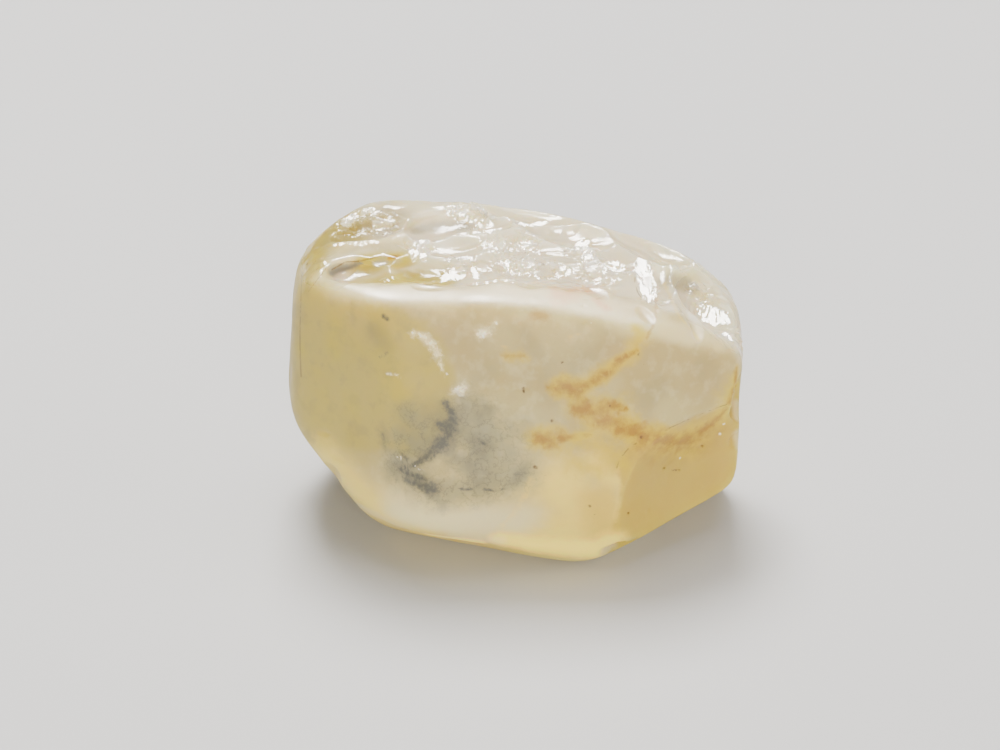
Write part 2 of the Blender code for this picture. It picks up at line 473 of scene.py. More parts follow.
def relief_tree():
    """The tree that moves the skin along its normals, by splinters, ledges, waves, pits and grooves."""
    tree = bpy.data.node_groups.new("broken crystal relief", "GeometryNodeTree")
    tree.interface.new_socket("Geometry", in_out="INPUT", socket_type="NodeSocketGeometry")
    for name, (kind, _) in RELIEF_INPUTS.items():
        tree.interface.new_socket(name, in_out="INPUT", socket_type=kind)
    tree.interface.new_socket("Geometry", in_out="OUTPUT", socket_type="NodeSocketGeometry")
    given = put(tree, "NodeGroupInput").outputs
    place = put(tree, "GeometryNodeInputPosition").outputs[0]
    normal = put(tree, "GeometryNodeInputNormal").outputs[0]
    seed = put(tree, "ShaderNodeCombineXYZ", X=given["Seed"], Y=given["Seed"], Z=given["Seed"]).outputs[0]

    def times(first, second):
        return calculate(tree, "MULTIPLY", first, second)

    def plus(first, second):
        return calculate(tree, "ADD", first, second)

    def one_over(value):
        return calculate(tree, "DIVIDE", 1.0, value)

    # Noise bends the lattice of splinters, so that no two rows run straight.
    shifted = calculate_vector(tree, "ADD", place, seed)
    bend = put(tree, "ShaderNodeTexNoise", Vector=shifted, Scale=one_over(given["Bend Length"]), Detail=2.0)
    off_middle = calculate_vector(tree, "SUBTRACT", bend.outputs["Color"], (0.5, 0.5, 0.5))
    bent = calculate_vector(tree, "SCALE", off_middle, scale=given["Bend"])
    bent = calculate_vector(tree, "ADD", place, bent)

    width = given["Splinter Width"]
    size = put(tree, "ShaderNodeCombineXYZ", X=given["Splinter Length"], Y=width, Z=width).outputs[0]
    coarse = splinters(tree, bent, size, given["Splinter Tilt"], seed)
    small_size = calculate_vector(tree, "SCALE", size, scale=given["Fine Share"])
    fine = splinters(tree, bent, small_size, given["Splinter Tilt"], seed)
    hackle = times(plus(coarse, fine), kept_value(tree, "hackle"))

    # Long ledges run along the crown: a sawtooth across it, which fades in and out.
    across = put(tree, "ShaderNodeSeparateXYZ", Vector=bent).outputs["Y"]
    steps = calculate(tree, "FRACT", calculate(tree, "DIVIDE", across, given["Ledge Spacing"]))
    comes_and_goes = put(tree, "ShaderNodeTexNoise", Vector=place, Scale=LEDGES_COME_AND_GO, Detail=1.0)
    ledge_share = map_range(tree, comes_and_goes.outputs[0], *LEDGES_WHERE)
    ledges = times(times(calculate(tree, "SUBTRACT", 0.5, steps), given["Ledge Height"]), ledge_share)
    ledges = times(ledges, kept_value(tree, "fresh"))

    per_wave = one_over(given["Wave Length"])
    waves = put(tree, "ShaderNodeTexNoise", Vector=place, Scale=per_wave, Detail=WAVE_DETAIL)
    worn = times(calculate(tree, "SUBTRACT", waves.outputs[0], 0.5), times(given["Waviness"], 2.0))

    # A few small round pits, where grains fell out of the worn skin.
    pit_scale = one_over(given["Pit Spacing"])
    pits = put(tree, "ShaderNodeTexVoronoi", {"feature": "F1"}, Vector=place, Scale=pit_scale)
    pit_here = map_range(tree, pits.outputs["Distance"], *PIT_SIDE, smooth=True)
    pit_chance = put(tree, "ShaderNodeSeparateXYZ", Vector=pits.outputs["Color"]).outputs["X"]
    pit_share = map_range(tree, pit_chance, *PIT_CHANCE)
    pitted = times(times(pit_here, pit_share), times(given["Pit Depth"], -1.0))

    # Fine grooves on the left end, slanting up to the right.
    slant = calculate_vector(tree, "DOT_PRODUCT", place, GROOVES_CLIMB, result=1)
    uneven = put(tree, "ShaderNodeTexNoise", Vector=place, Scale=GROOVES_WANDER, Detail=3.0).outputs[0]
    turns = plus(calculate(tree, "DIVIDE", slant, given["Groove Spacing"]), times(uneven, GROOVES_WANDER_BY))
    groove = calculate(tree, "SINE", times(turns, 2 * math.pi))
    groove = times(groove, map_range(tree, uneven, *GROOVES_WHERE))
    grooves = times(times(groove, given["Groove Depth"]), kept_value(tree, "striated"))

    height = put(tree, "ShaderNodeSeparateXYZ", Vector=place).outputs["Z"]
    off_the_flat = map_range(tree, height, *OFF_THE_FLAT)
    broken = plus(plus(hackle, ledges), kept_value(tree, "ripple"))
    all_of_it = plus(broken, plus(plus(worn, pitted), grooves))
    offset = calculate_vector(tree, "SCALE", normal, scale=times(all_of_it, off_the_flat))
    moved = put(tree, "GeometryNodeSetPosition", Geometry=given["Geometry"], Offset=offset)
    smooth = put(tree, "GeometryNodeSetShadeSmooth", Geometry=moved.outputs[0])
    real = put(tree, "GeometryNodeRealizeInstances", Geometry=smooth.outputs[0])
    finish = put(tree, "GeometryNodeSetMaterial", Geometry=real.outputs[0], Material=given["Finish"])
    result = put(tree, "NodeGroupOutput")
    tree.links.new(finish.outputs[0], result.inputs[0])
    return tree


print("the relief tree has", len(relief_tree().nodes), "nodes")

# %% [markdown]
# ## The stone's material
# Milky chrysoberyl is cloudy inside, so light scatters under its skin. Subsurface scattering does that,
# with a reach of a few millimetres, and some plain transmission lets the rest of the light go straight
# through. The stone bends light strongly, which its index of refraction of 1.75 gives: it is why it shines
# more than glass.

# %% The shared groups
# How much finer detail each noise carries on top of its own size, and how strong that detail is.
FINE_DETAIL = 5.0
MARK_DETAIL = 6.0
THREAD_ROUGHNESS = 0.6
MARK_ROUGHNESS = 0.65


def new_group(name, inputs):
    """A shader node group that reads a place and some numbers, and puts out a mask."""
    group = bpy.data.node_groups.new(name, "ShaderNodeTree")
    group.interface.new_socket("Place", in_out="INPUT", socket_type="NodeSocketVector")
    for label, value in inputs.items():
        socket = group.interface.new_socket(label, in_out="INPUT", socket_type="NodeSocketFloat")
        socket.default_value = value
    group.interface.new_socket("Mask", in_out="OUTPUT", socket_type="NodeSocketFloat")
    return group


def clouds_group():
    """Soft clouds over the surface, of that size. They start and are full at those values of a noise."""
    group = new_group("soft clouds", {"Size": 1.0, "Detail": 3.0, "Start": 0.45, "Full": 0.65})
    given = put(group, "NodeGroupInput").outputs
    scale = calculate(group, "DIVIDE", 1.0, given["Size"])
    noise = put(group, "ShaderNodeTexNoise", Vector=given["Place"], Scale=scale, Detail=given["Detail"])
    mask = map_range(group, noise.outputs[0], given["Start"], given["Full"], smooth=True)
    result = put(group, "NodeGroupOutput")
    group.links.new(mask, result.inputs["Mask"])
    return group


def marks_group():
    """A mark from its distance in reaches: full within its core, none past its edge, which is ragged."""
    inputs = {"Distance": 0.0, "Raggedness": 0.5, "Grain Size": 0.3, "Core": 0.2, "Edge": 1.0}
    group = new_group("ragged mark", inputs)
    given = put(group, "NodeGroupInput").outputs
    scale = calculate(group, "DIVIDE", 1.0, given["Grain Size"])
    fineness = {"Detail": MARK_DETAIL, "Roughness": MARK_ROUGHNESS}
    noise = put(group, "ShaderNodeTexNoise", Vector=given["Place"], Scale=scale, **fineness)
    off_middle = calculate(group, "SUBTRACT", noise.outputs[0], 0.5)
    shift = calculate(group, "MULTIPLY", off_middle, calculate(group, "MULTIPLY", given["Raggedness"], 2.0))
    ragged = calculate(group, "ADD", given["Distance"], shift)
    mask = map_range(group, ragged, given["Edge"], given["Core"], smooth=True)
    result = put(group, "NodeGroupOutput")
    group.links.new(mask, result.inputs["Mask"])
    return group


def filaments_group():
    """Fine curling threads: they run wherever a noise passes through its middle value."""
    group = new_group("filaments", {"Size": 0.4, "Width": 0.03})
    given = put(group, "NodeGroupInput").outputs
    scale = calculate(group, "DIVIDE", 1.0, given["Size"])
    fineness = {"Detail": FINE_DETAIL, "Roughness": THREAD_ROUGHNESS}
    noise = put(group, "ShaderNodeTexNoise", Vector=given["Place"], Scale=scale, **fineness)
    off_middle = calculate(group, "ABSOLUTE", calculate(group, "SUBTRACT", noise.outputs[0], 0.5))
    mask = map_range(group, off_middle, given["Width"], 0.0, smooth=True)
    result = put(group, "NodeGroupOutput")
    group.links.new(mask, result.inputs["Mask"])
    return group


CLOUDS = clouds_group()
MARKS = marks_group()
FILAMENTS = filaments_group()
print("three shared groups:", CLOUDS.name, "and", MARKS.name, "and", FILAMENTS.name)

# %% The colours, and where they go
COLOURS = {
    "body": (0.49, 0.39, 0.14, 1),
    "body_pale": (0.57, 0.48, 0.20, 1),
    "yellow": (0.51, 0.41, 0.06, 1),
    "strong_yellow": (0.56, 0.45, 0.015, 1),
    "olive": (0.28, 0.23, 0.07, 1),
    # painted glow: the bright cream of light that seems to come through the thin lower rim
    "painted_glow_cream": (0.95, 0.73, 0.12, 1),
    "warm": (0.68, 0.49, 0.06, 1),
    # painted glow along the lower rim
    "glow": (1.0, 0.73, 0.11, 1),
    # partly frosted crystal, partly a painted sheen on the ridge and crests
    "milk_and_sheen": (0.82, 0.69, 0.39, 1),
    "crown": (0.88, 0.80, 0.62, 1),
    # painted shade in the hollows of the fresh break
    "hollow_shade": (0.58, 0.50, 0.28, 1),
    "ochre": (0.54, 0.375, 0.02, 1),
    "amber": (0.68, 0.51, 0.0, 1),
    "rust": (0.39, 0.2, 0.0, 1),
    "brown": (0.10, 0.035, 0.004, 1),
    "blush": (0.80, 0.36, 0.12, 1),
    "veil": (0.075, 0.078, 0.066, 1),
    "haze": (0.24, 0.23, 0.13, 1),
    "grey": (0.42, 0.38, 0.25, 1),
    "dark_grey": (0.22, 0.22, 0.22, 1),
    "pale": (0.80, 0.72, 0.42, 1),
    # painted highlight on the glints and flecks
    "glint_white": (1.0, 0.95, 0.80, 1),
}
BLACK = (0, 0, 0, 1)
# Clouds in the body: colour, size in millimetres, detail, where they start and are full, strongest share.
BODY_CLOUDS = [
    ("body_pale", 2.2, 4.0, 0.38, 0.62, 1.0),
    ("haze", 0.9, 5.0, 0.48, 0.68, 0.2),
    ("pale", 0.35, 5.0, 0.48, 0.7, 0.28),
]
# The same for the mottles of the clear yellow zone.
LENS_MOTTLES = [
    ("olive", 0.45, 5.0, 0.5, 0.68, 0.35),
    ("strong_yellow", 1.1, 4.0, 0.48, 0.65, 0.3),
]
# What the shape brings: where it starts and is full, in millimetres of height or of how sunk a spot is,
# and its strongest share. The fresh crown and the glints have a share alone.
# Painted glow: low down, the colour turns to the bright cream of the lower rim.
PAINTED_GLOW_LOW_DOWN = (3.6, 1.2, 0.5)
CROWN_SHARE = 0.7
# Painted shade: the fresh break's hollows, by how sunk they are.
SHADE_WHERE_SUNK = (0.015, 0.14, 0.6)
# Partly frost, partly painted sheen: the crests, by how raised they are.
FROST_AND_SHEEN_ON_CRESTS = (-0.01, -0.07, 0.6)
# Painted highlight: the share of white on the ledges that flash.
WHITE_ON_GLINTS = 0.5
# Dark threads in the haze: their size in millimetres, their width and their share.
THREADS = (0.35, 0.03, 0.45)
# How brightly the painted glow and sparkles shine.
PAINTED_LIGHT_STRENGTH = 0.5
# Edges of single marks: raggedness, grain size, core and edge, as in the layers below.
LENS_EDGE = (0.35, 0.9, -0.15, 0.3)
THREADS_EDGE = (0.5, 0.5, 0.1, 1.1)
GLOW_EDGE = (0.3, 0.5, 0.0, 1.0)
SPARKLE_EDGE = (1.6, 0.1, -0.4, 0.6)
# The patches of duller wax: size in millimetres, detail, where they start and are full. Then the roughness.
DULL_PATCHES = (0.8, 3.0, 0.3, 0.7)
ROUGH_WORN = (0.40, 0.55)
ROUGH_FRESH = 0.12
# How far red, green and blue light wanders under the skin, as shares of a distance in millimetres.
WANDERS = (1.0, 0.8, 0.45)
WANDERS_BY = 2.6
REFRACTION = 1.75
SEE_THROUGH = 0.22
# Bumps too fine for the net, in millimetres: a grain all over, and chips in the hackle.
SKIN_GRAIN = 0.2
SKIN_GRAIN_HEIGHT = 0.02
SKIN_GRAIN_STRENGTH = 0.3
CHIP_SIZE = (0.16, 0.1, 0.1)
CHIP_TILT = 0.18
CHIP_SEED = (3.0, 3.0, 3.0)
CHIPS_EVERYWHERE = 0.04

# Each layer, from the bottom up: kept number, colour, strongest share, raggedness, grain size, core, edge.
LAYERS = [
    ("lens", "yellow", 0.9, 0.35, 0.9, -0.15, 0.3),
    ("yellow", "yellow", 0.9, 0.35, 1.5, 0.2, 1.1),
    ("strong_yellow", "strong_yellow", 0.6, 0.5, 0.4, 0.0, 1.0),
    # painted glow along the lower rim
    ("painted_glow_cream", "painted_glow_cream", 0.85, 0.35, 1.2, 0.1, 1.0),
    ("warm", "warm", 0.8, 0.3, 1.2, 0.1, 1.0),
    ("pale", "pale", 0.85, 0.35, 1.0, 0.1, 1.1),
    ("break", "ochre", 0.9, 0.12, 0.5, -0.1, 0.08),
    ("olive", "olive", 0.6, 0.35, 0.9, 0.0, 1.0),
    # partly frost, partly painted sheen along the ridge
    ("milk_and_sheen", "milk_and_sheen", 0.85, 0.75, 0.6, -0.2, 1.4),
    # painted glow along the lower rim
    ("glow", "glow", 0.9, 0.3, 0.5, 0.1, 1.1),
    # painted rim light on the right notches and the lower edge
    ("edge", "milk_and_sheen", 0.6, 0.5, 0.4, 0.1, 1.2),
    # painted glints
    ("sparkle", "pale", 0.9, 1.5, 0.12, -0.2, 1.2),
    ("haze", "haze", 0.7, 0.9, 0.6, -0.2, 1.2),
    ("cloud", "veil", 0.4, 1.3, 0.25, -0.3, 1.3),
    ("veil", "veil", 0.6, 0.9, 0.3, -0.2, 1.5),
    ("veil", "veil", 0.95, 1.6, 0.09, -0.1, 1.1),
    ("shade", "grey", 0.8, 0.4, 0.3, 0.2, 1.0),
    # painted shade in the pit's dark crescent
    ("pit_shade", "dark_grey", 0.8, 0.5, 0.2, 0.2, 1.0),
    ("stain", "rust", 0.45, 0.9, 0.5, -0.1, 1.2),
    ("halo", "amber", 0.75, 1.2, 0.4, -0.2, 1.3),
    ("rust", "amber", 0.9, 1.3, 0.45, 0.2, 1.8),
    ("rust", "rust", 0.95, 1.5, 0.3, -0.1, 1.3),
    ("rust", "brown", 0.35, 2.0, 0.09, -0.8, 0.1),
    ("blush", "blush", 0.5, 0.8, 0.3, 0.0, 1.1),
    ("tan", "rust", 0.5, 1.0, 0.2, 0.0, 1.1),
    ("vein", "glow", 0.35, 1.3, 0.2, -0.1, 1.2),
    ("line", "brown", 0.6, 0.4, 0.2, 0.3, 1.0),
    ("speck", "brown", 0.9, 0.4, 0.08, 0.3, 1.0),
    # mostly painted glints, partly white grains of the crystal
    ("fleck_and_glint", "glint_white", 1.0, 0.5, 0.1, 0.3, 1.0),
]
print(len(COLOURS), "colours in", len(LAYERS), "layers")

# %% The material
# A Mix node's sockets, by what it mixes: its share, what lies under, what lies over, and its result.
MIX_SOCKETS = {"RGBA": (0, 6, 7, 2), "FLOAT": (0, 2, 3, 0)}


def mix(tree, kind, share, under, over):
    """The mix of two colours or of two numbers, with that share of the one that lies over."""
    mixed = put(tree, "ShaderNodeMix", {"data_type": kind})
    share_at, under_at, over_at, result_at = MIX_SOCKETS[kind]
    fill(tree, mixed, share_at, share)
    fill(tree, mixed, under_at, under)
    fill(tree, mixed, over_at, over)
    return mixed.outputs[result_at]


def mix_colours(tree, share, under, over):
    return mix(tree, "RGBA", share, under, over)


def stone_material():
    """Colours from the bottom up, then the painted glow and sparkles, roughness, the light that goes in, and
    fine bumps.
    """
    material = bpy.data.materials.new("milky_chrysoberyl")
    material.use_nodes = True
    tree = material.node_tree
    surface = tree.nodes["Principled BSDF"]
    coordinates = put(tree, "ShaderNodeTexCoord").outputs["Object"]
    place = calculate_vector(tree, "SCALE", coordinates, scale=1 / MM)

    def kept(name):
        return put(tree, "ShaderNodeAttribute", {"attribute_name": name}).outputs["Fac"]

    def clouds(size, detail, start, full):
        node = put(tree, "ShaderNodeGroup", {"node_tree": CLOUDS}, Place=place, Size=size, Detail=detail)
        fill(tree, node, "Start", start)
        fill(tree, node, "Full", full)
        return node.outputs["Mask"]

    def mark(name, raggedness, grain, core, edge):
        values = {"Distance": kept(name), "Raggedness": raggedness, "Core": core, "Edge": edge}
        node = put(tree, "ShaderNodeGroup", {"node_tree": MARKS}, Place=place, Grain_Size=grain, **values)
        return node.outputs["Mask"]

    def filaments(size, width):
        node = put(tree, "ShaderNodeGroup", {"node_tree": FILAMENTS}, Place=place, Size=size, Width=width)
        return node.outputs["Mask"]

    def share_of(mask, most):
        return calculate(tree, "MULTIPLY", mask, most)

    def shape_share(value, start, full, most):
        return share_of(map_range(tree, value, start, full, smooth=True), most)

    fresh = kept("fresh")
    height = put(tree, "ShaderNodeSeparateXYZ", Vector=place).outputs["Z"]
    colour = COLOURS["body"]
    for paint, size, detail, start, full, most in BODY_CLOUDS:
        cloud = share_of(clouds(size, detail, start, full), most)
        colour = mix_colours(tree, cloud, colour, COLOURS[paint])
    # Painted glow: the lower part of the stone is painted a lighter cream.
    colour = mix_colours(tree, shape_share(height, *PAINTED_GLOW_LOW_DOWN), colour, COLOURS["painted_glow_cream"])
    colour = mix_colours(tree, share_of(fresh, CROWN_SHARE), colour, COLOURS["crown"])
    # Painted shade: the fresh break's hollows turn darker and greener.
    sunk = share_of(shape_share(kept("sunk"), *SHADE_WHERE_SUNK), fresh)
    colour = mix_colours(tree, sunk, colour, COLOURS["hollow_shade"])
    # Partly frost, partly painted sheen: crests turn paler.
    colour = mix_colours(tree, shape_share(kept("sunk"), *FROST_AND_SHEEN_ON_CRESTS), colour, COLOURS["milk_and_sheen"])
    for name, paint, most, raggedness, grain, core, edge in LAYERS:
        mask = mark(name, raggedness, grain, core, edge)
        colour = mix_colours(tree, share_of(mask, most), colour, COLOURS[paint])
    lens = mark("lens", *LENS_EDGE)
    for paint, size, detail, start, full, most in LENS_MOTTLES:
        mottle = share_of(share_of(clouds(size, detail, start, full), most), lens)
        colour = mix_colours(tree, mottle, colour, COLOURS[paint])
    thread_size, thread_width, thread_share = THREADS
    threads = share_of(filaments(thread_size, thread_width), mark("haze", *THREADS_EDGE))
    colour = mix_colours(tree, share_of(threads, thread_share), colour, COLOURS["veil"])
    # Painted highlight: the ledges that flash are painted white too.
    colour = mix_colours(tree, share_of(kept("glint"), WHITE_ON_GLINTS), colour, COLOURS["glint_white"])
    fill(tree, surface, "Base Color", colour)

    # Painted light: the glow along the lower rim and the sparkles are emission, though the stone is no lamp.
    painted_glow = mix_colours(tree, mark("glow", *GLOW_EDGE), BLACK, COLOURS["glow"])
    sparkling = mark("sparkle", *SPARKLE_EDGE)
    fill(tree, surface, "Emission Color", mix_colours(tree, sparkling, painted_glow, COLOURS["glint_white"]))
    surface.inputs["Emission Strength"].default_value = PAINTED_LIGHT_STRENGTH

    waxy = map_range(tree, clouds(*DULL_PATCHES), 0.0, 1.0, *ROUGH_WORN)
    fill(tree, surface, "Roughness", mix(tree, "FLOAT", fresh, waxy, ROUGH_FRESH))

    surface.inputs["Subsurface Weight"].default_value = 1.0
    surface.inputs["Subsurface Radius"].default_value = WANDERS
    surface.inputs["Subsurface Scale"].default_value = WANDERS_BY * MM
    surface.inputs["IOR"].default_value = REFRACTION
    surface.inputs["Transmission Weight"].default_value = SEE_THROUGH

    fineness = {"Detail": FINE_DETAIL, "Roughness": THREAD_ROUGHNESS}
    fine = put(tree, "ShaderNodeTexNoise", Vector=place, Scale=1 / SKIN_GRAIN, **fineness)
    skin_bump = put(tree, "ShaderNodeBump", Strength=SKIN_GRAIN_STRENGTH, Height=fine.outputs[0])
    skin_bump.inputs["Distance"].default_value = SKIN_GRAIN_HEIGHT * MM
    chips = splinters(tree, place, CHIP_SIZE, CHIP_TILT, CHIP_SEED)
    chips = calculate(tree, "MULTIPLY", chips, calculate(tree, "ADD", kept("hackle"), CHIPS_EVERYWHERE))
    crown_bump = put(tree, "ShaderNodeBump", Strength=1.0, Distance=1.0 * MM, Height=chips)
    fill(tree, crown_bump, "Normal", skin_bump.outputs[0])
    fill(tree, surface, "Normal", crown_bump.outputs[0])
    return material


finish = stone_material()
print("the stone's material has", len(finish.node_tree.nodes), "nodes")

# %% [markdown]
# ## Raise the relief
# A modifier runs the relief tree on the stone. Each input is set by its identifier, because a name may
# occur twice in a tree. What the tree makes is kept as a plain mesh, and the numbers that its vertices
# carry stay with it, where the material reads them.

# %% Run the tree on the stone


def raise_relief(thing, material):
    """Runs the relief tree on an object and keeps what it makes."""
    tree = bpy.data.node_groups["broken crystal relief"]
    modifier = thing.modifiers.new("relief", "NODES")
    modifier.node_group = tree
    for item in tree.interface.items_tree:
        if item.in_out == "INPUT" and item.name in RELIEF_INPUTS:
            modifier[item.identifier] = material if item.name == "Finish" else RELIEF_INPUTS[item.name][1]
    apply_modifiers(thing)


raise_relief(stone, finish)
print("after the relief:", len(stone.data.vertices), "vertices")

# %% [markdown]
# ## Flakes and nicks
# A flake leaves a shallow dish where it was struck off. Here a dish is a round bowl whose floor is highest
# at its rim: every vertex that stands above the floor is pressed down onto it, so the rim comes out crisp
# and irregular, wherever bowl and skin happen to meet. A glint is a flatter flake whose floor faces
# halfway between the main light and the viewer, which makes it flash like a mirror. A Boolean for each
# would give the same shape, but it takes far longer on a fine net.

# %% Where the flakes and the ledges lie
MAIN_LIGHT_AT = (-16, 62, 130)
TOWARDS_LIGHT = (Vector(MAIN_LIGHT_AT) - LOOKED_AT).normalized()
GLINT_FACING = (TOWARDS_LIGHT + way(0, LOOKS_DOWN_BY)).normalized()

# Each flake: the two ends of its long axis as seen, its width, its depth, all in millimetres.
DISHES = [
    ((-4.49, 2.69), (-3.80, 2.93), 0.42, 0.13),
    ((-3.48, 2.93), (-2.69, 3.09), 0.4, 0.12),
    ((-2.69, 2.56), (-1.58, 2.51), 0.8, 0.10),
    ((-2.32, 2.37), (-1.42, 2.32), 0.4, 0.05),
    ((-2.32, 3.85), (-0.79, 3.93), 0.9, 0.12),
    ((3.61, 3.03), (4.09, 1.95), 0.55, 0.13),
    ((3.54, 1.93), (4.01, 1.35), 0.42, 0.08),
    ((1.93, 2.40), (2.74, 2.06), 0.5, 0.07),
    ((4.33, 2.40), (5.28, 1.00), 0.4, 0.06),
    ((3.85, 3.40), (4.46, 2.98), 0.5, 0.08),
    ((1.19, 3.93), (1.64, 3.77), 0.5, 0.06),
    ((1.66, 3.88), (1.95, 3.80), 0.5, 0.06),
    ((-4.85, -1.50), (-4.43, -1.56), 0.2, 0.04),
    ((-4.54, -2.03), (-4.01, -2.30), 0.35, 0.04),
    ((-0.53, 1.19), (-0.34, 1.06), 0.14, 0.06),
    ((-1.72, 0.84), (-1.64, 0.61), 0.1, 0.05),
    ((-1.11, -0.34), (-0.90, -0.47), 0.2, 0.05),
    ((-3.03, 0.03), (-2.85, 0.03), 0.1, 0.04),
    ((2.32, -3.43), (2.40, -3.46), 0.09, 0.05),
    ((4.27, -2.45), (4.38, -2.48), 0.09, 0.06),
    ((4.54, -2.51), (4.78, -2.51), 0.07, 0.05),
    ((3.35, -3.67), (3.43, -3.64), 0.09, 0.05),
    ((4.72, -2.19), (4.80, -2.19), 0.08, 0.04),
    ((0.90, -2.40), (0.98, -2.43), 0.09, 0.05),
    ((1.35, -1.19), (1.40, -1.21), 0.08, 0.04),
    ((0.61, -0.32), (0.63, -0.45), 0.06, 0.04),
    ((5.75, -1.53), (5.86, -1.58), 0.1, 0.05),
    ((3.69, -1.61), (3.77, -1.66), 0.1, 0.05),
    ((5.28, -1.85), (5.38, -1.90), 0.1, 0.05),
    ((5.91, 1.03), (6.17, 0.92), 0.3, 0.08),
]
# Each patch of ledges: its two ends as seen, and its width.
LEDGED = [
    ((-1.50, 2.48), (-0.98, 2.90), 0.5),
    ((-2.32, 2.96), (-2.14, 3.61), 0.3),
    ((-2.03, 2.98), (-1.93, 3.56), 0.26),
    ((-2.22, 3.56), (-1.85, 3.72), 0.24),
    ((-1.08, 3.06), (-0.71, 3.09), 0.3),
    ((-0.74, 2.88), (-0.58, 2.53), 0.2),
    ((-0.50, 3.38), (0.21, 3.46), 0.4),
    ((0.32, 3.43), (1.00, 3.48), 0.36),
    ((0.00, 3.09), (0.42, 2.72), 0.4),
    ((0.37, 2.85), (1.00, 2.74), 0.44),
    ((1.58, 2.82), (1.90, 2.72), 0.24),
    ((2.01, 3.40), (2.37, 3.56), 0.36),
    ((2.06, 3.40), (2.53, 2.98), 0.44),
    ((2.37, 3.19), (2.72, 2.56), 0.6),
    ((0.53, 3.98), (1.19, 4.04), 0.3),
    ((2.64, 2.88), (3.22, 2.88), 0.5),
    ((3.72, 3.09), (3.96, 1.98), 0.5),
    ((-4.17, 3.93), (-3.75, 4.30), 0.3),
    ((-3.38, 3.91), (-2.80, 4.09), 0.4),
    ((-3.69, 4.30), (-3.27, 4.38), 0.2),
    ((-1.42, 4.43), (-1.06, 4.27), 0.36),
    ((-1.11, 4.33), (-0.69, 4.09), 0.36),
    ((-0.69, 4.17), (-0.16, 3.93), 0.36),
    ((5.28, 1.82), (5.99, 1.37), 0.7),
    ((5.91, 1.11), (6.09, 0.92), 0.24),
    ((-0.58, 1.11), (-0.34, 1.13), 0.14),
    ((-1.16, -0.37), (-0.95, -0.47), 0.14),
]
LEDGE_HEIGHT = 0.07
# Waves that keep the ledges' edges and a patch's rim from running straight: how they run, and their
# height.
LEDGE_WAVES = [((9.0, 3.0, 5.0), 0.02), ((-17.0, 8.0, 3.0), 0.015)]
RIM_RAGGEDNESS = 8
# How far around a flake the skin is looked at, where 1 is its rim, and how far off its plane.
NEAR_THE_FLAKE = 1.6
TRIED_ON = 0.5
print(len(DISHES), "dishes and", len(LEDGED), "patches of ledges to strike")

# %% Strike the flakes


def over_the_flake(points, start, end, width, facing):
    """How far out over a flake each point lies, 0 at its middle, 1 at its rim, and how high it stands."""
    u = np.array(end - start)
    half_length = max(np.linalg.norm(u) / 2, width / 2)
    u = u - (u @ facing) * facing
    u /= np.linalg.norm(u)
    v = np.cross(facing, u)
    from_middle = points - np.array(start + end) / 2
    around = ((from_middle @ u) / half_length) ** 2 + ((from_middle @ v) / (width / 2)) ** 2
    return around, from_middle @ facing


def press_dish(points, ends, width, depth):
    """Presses the vertices that stand above a dish's floor down onto it."""
    (start, start_facing), (end, end_facing) = (on_the_skin(spot) for spot in ends)
    facing = np.array((start_facing + end_facing).normalized())
    around, height = over_the_flake(points, start, end, width, facing)
    over = (around < NEAR_THE_FLAKE) & (np.abs(height) < TRIED_ON)
    floor = np.median(height[over & (around < TRIED_ON)]) - depth * (1 - around)
    over &= height > floor
    points[over] -= ((height - floor)[over])[:, None] * facing


def cut_ledges(points, ends, width):
    """Levels a patch of skin into small ledges that face GLINT_FACING, and tells which vertices moved."""
    start, end = (on_the_skin(spot)[0] for spot in ends)
    facing = np.array(GLINT_FACING)
    around, height = over_the_flake(points, start, end, width, facing)
    wobble = sum(rise * np.sin(points @ np.array(run)) for run, rise in LEDGE_WAVES)
    over = (around + RIM_RAGGEDNESS * wobble < 1) & (np.abs(height) < TRIED_ON)
    ledge = (np.floor((height + wobble) / LEDGE_HEIGHT) + 0.5) * LEDGE_HEIGHT
    points[over] += ((ledge - height)[over])[:, None] * facing
    return over


points = positions_of(stone.data)
for start, end, width, depth in DISHES:
    press_dish(points, (start, end), width, depth)
glint = np.zeros(len(points))
for start, end, width in LEDGED:
    glint[cut_ledges(points, (start, end), width)] = 1
print("the ledges took in", int(glint.sum()), "vertices")
keep_on_vertices(stone.data, "glint", glint)
stone.data.vertices.foreach_set("co", points.ravel())
stone.data.update()

# %% [markdown]
# ## How sunk each spot is
# Hollows in the fresh breaks are painted darker and greener, as painted shade, and worn crests paler, partly
# as frost and partly as painted sheen. To paint that, every vertex keeps how far it lies under a copy of the
# skin that is smoothed many times over.
# Then the net is thinned out where it is smooth, because flat faces don't need the crown's fine quads.

# %% Measure how sunk each spot is, and thin out the net
# Rounds of smoothing, the share of the net that stays, and how rough a face is to be shaded flat.
SUNK_ROUNDS = 60
KEPT_SHARE = 0.44
FLAT_ABOVE = 0.4


def keep_how_sunk(thing):
    """How far each vertex lies under a smoothed copy of the skin: above 0 in a pit, below 0 on a crest."""
    copy = bpy.data.objects.new("smoothed", thing.data.copy())
    bpy.context.scene.collection.objects.link(copy)
    smooth_rounds(copy, SUNK_ROUNDS)
    under = ((positions_of(copy.data) - positions_of(thing.data)) * normals_of(copy.data)).sum(axis=1)
    keep_on_vertices(thing.data, "sunk", under)
    bpy.data.objects.remove(copy)
    print("the deepest pit lies", round(float(under.max()), 2), "mm under the smoothed skin")


keep_how_sunk(stone)
thin_out = stone.modifiers.new("thin out the smooth parts", "DECIMATE")
thin_out.ratio = KEPT_SHARE
apply_modifiers(stone)
rough = values_of(stone.data, "hackle") + values_of(stone.data, "glint")
smooth = [max(rough[v] for v in face.vertices) < FLAT_ABOVE for face in stone.data.polygons]
stone.data.polygons.foreach_set("use_smooth", smooth)
print("after thinning out:", len(stone.data.polygons), "faces,", smooth.count(False), "of them flat")
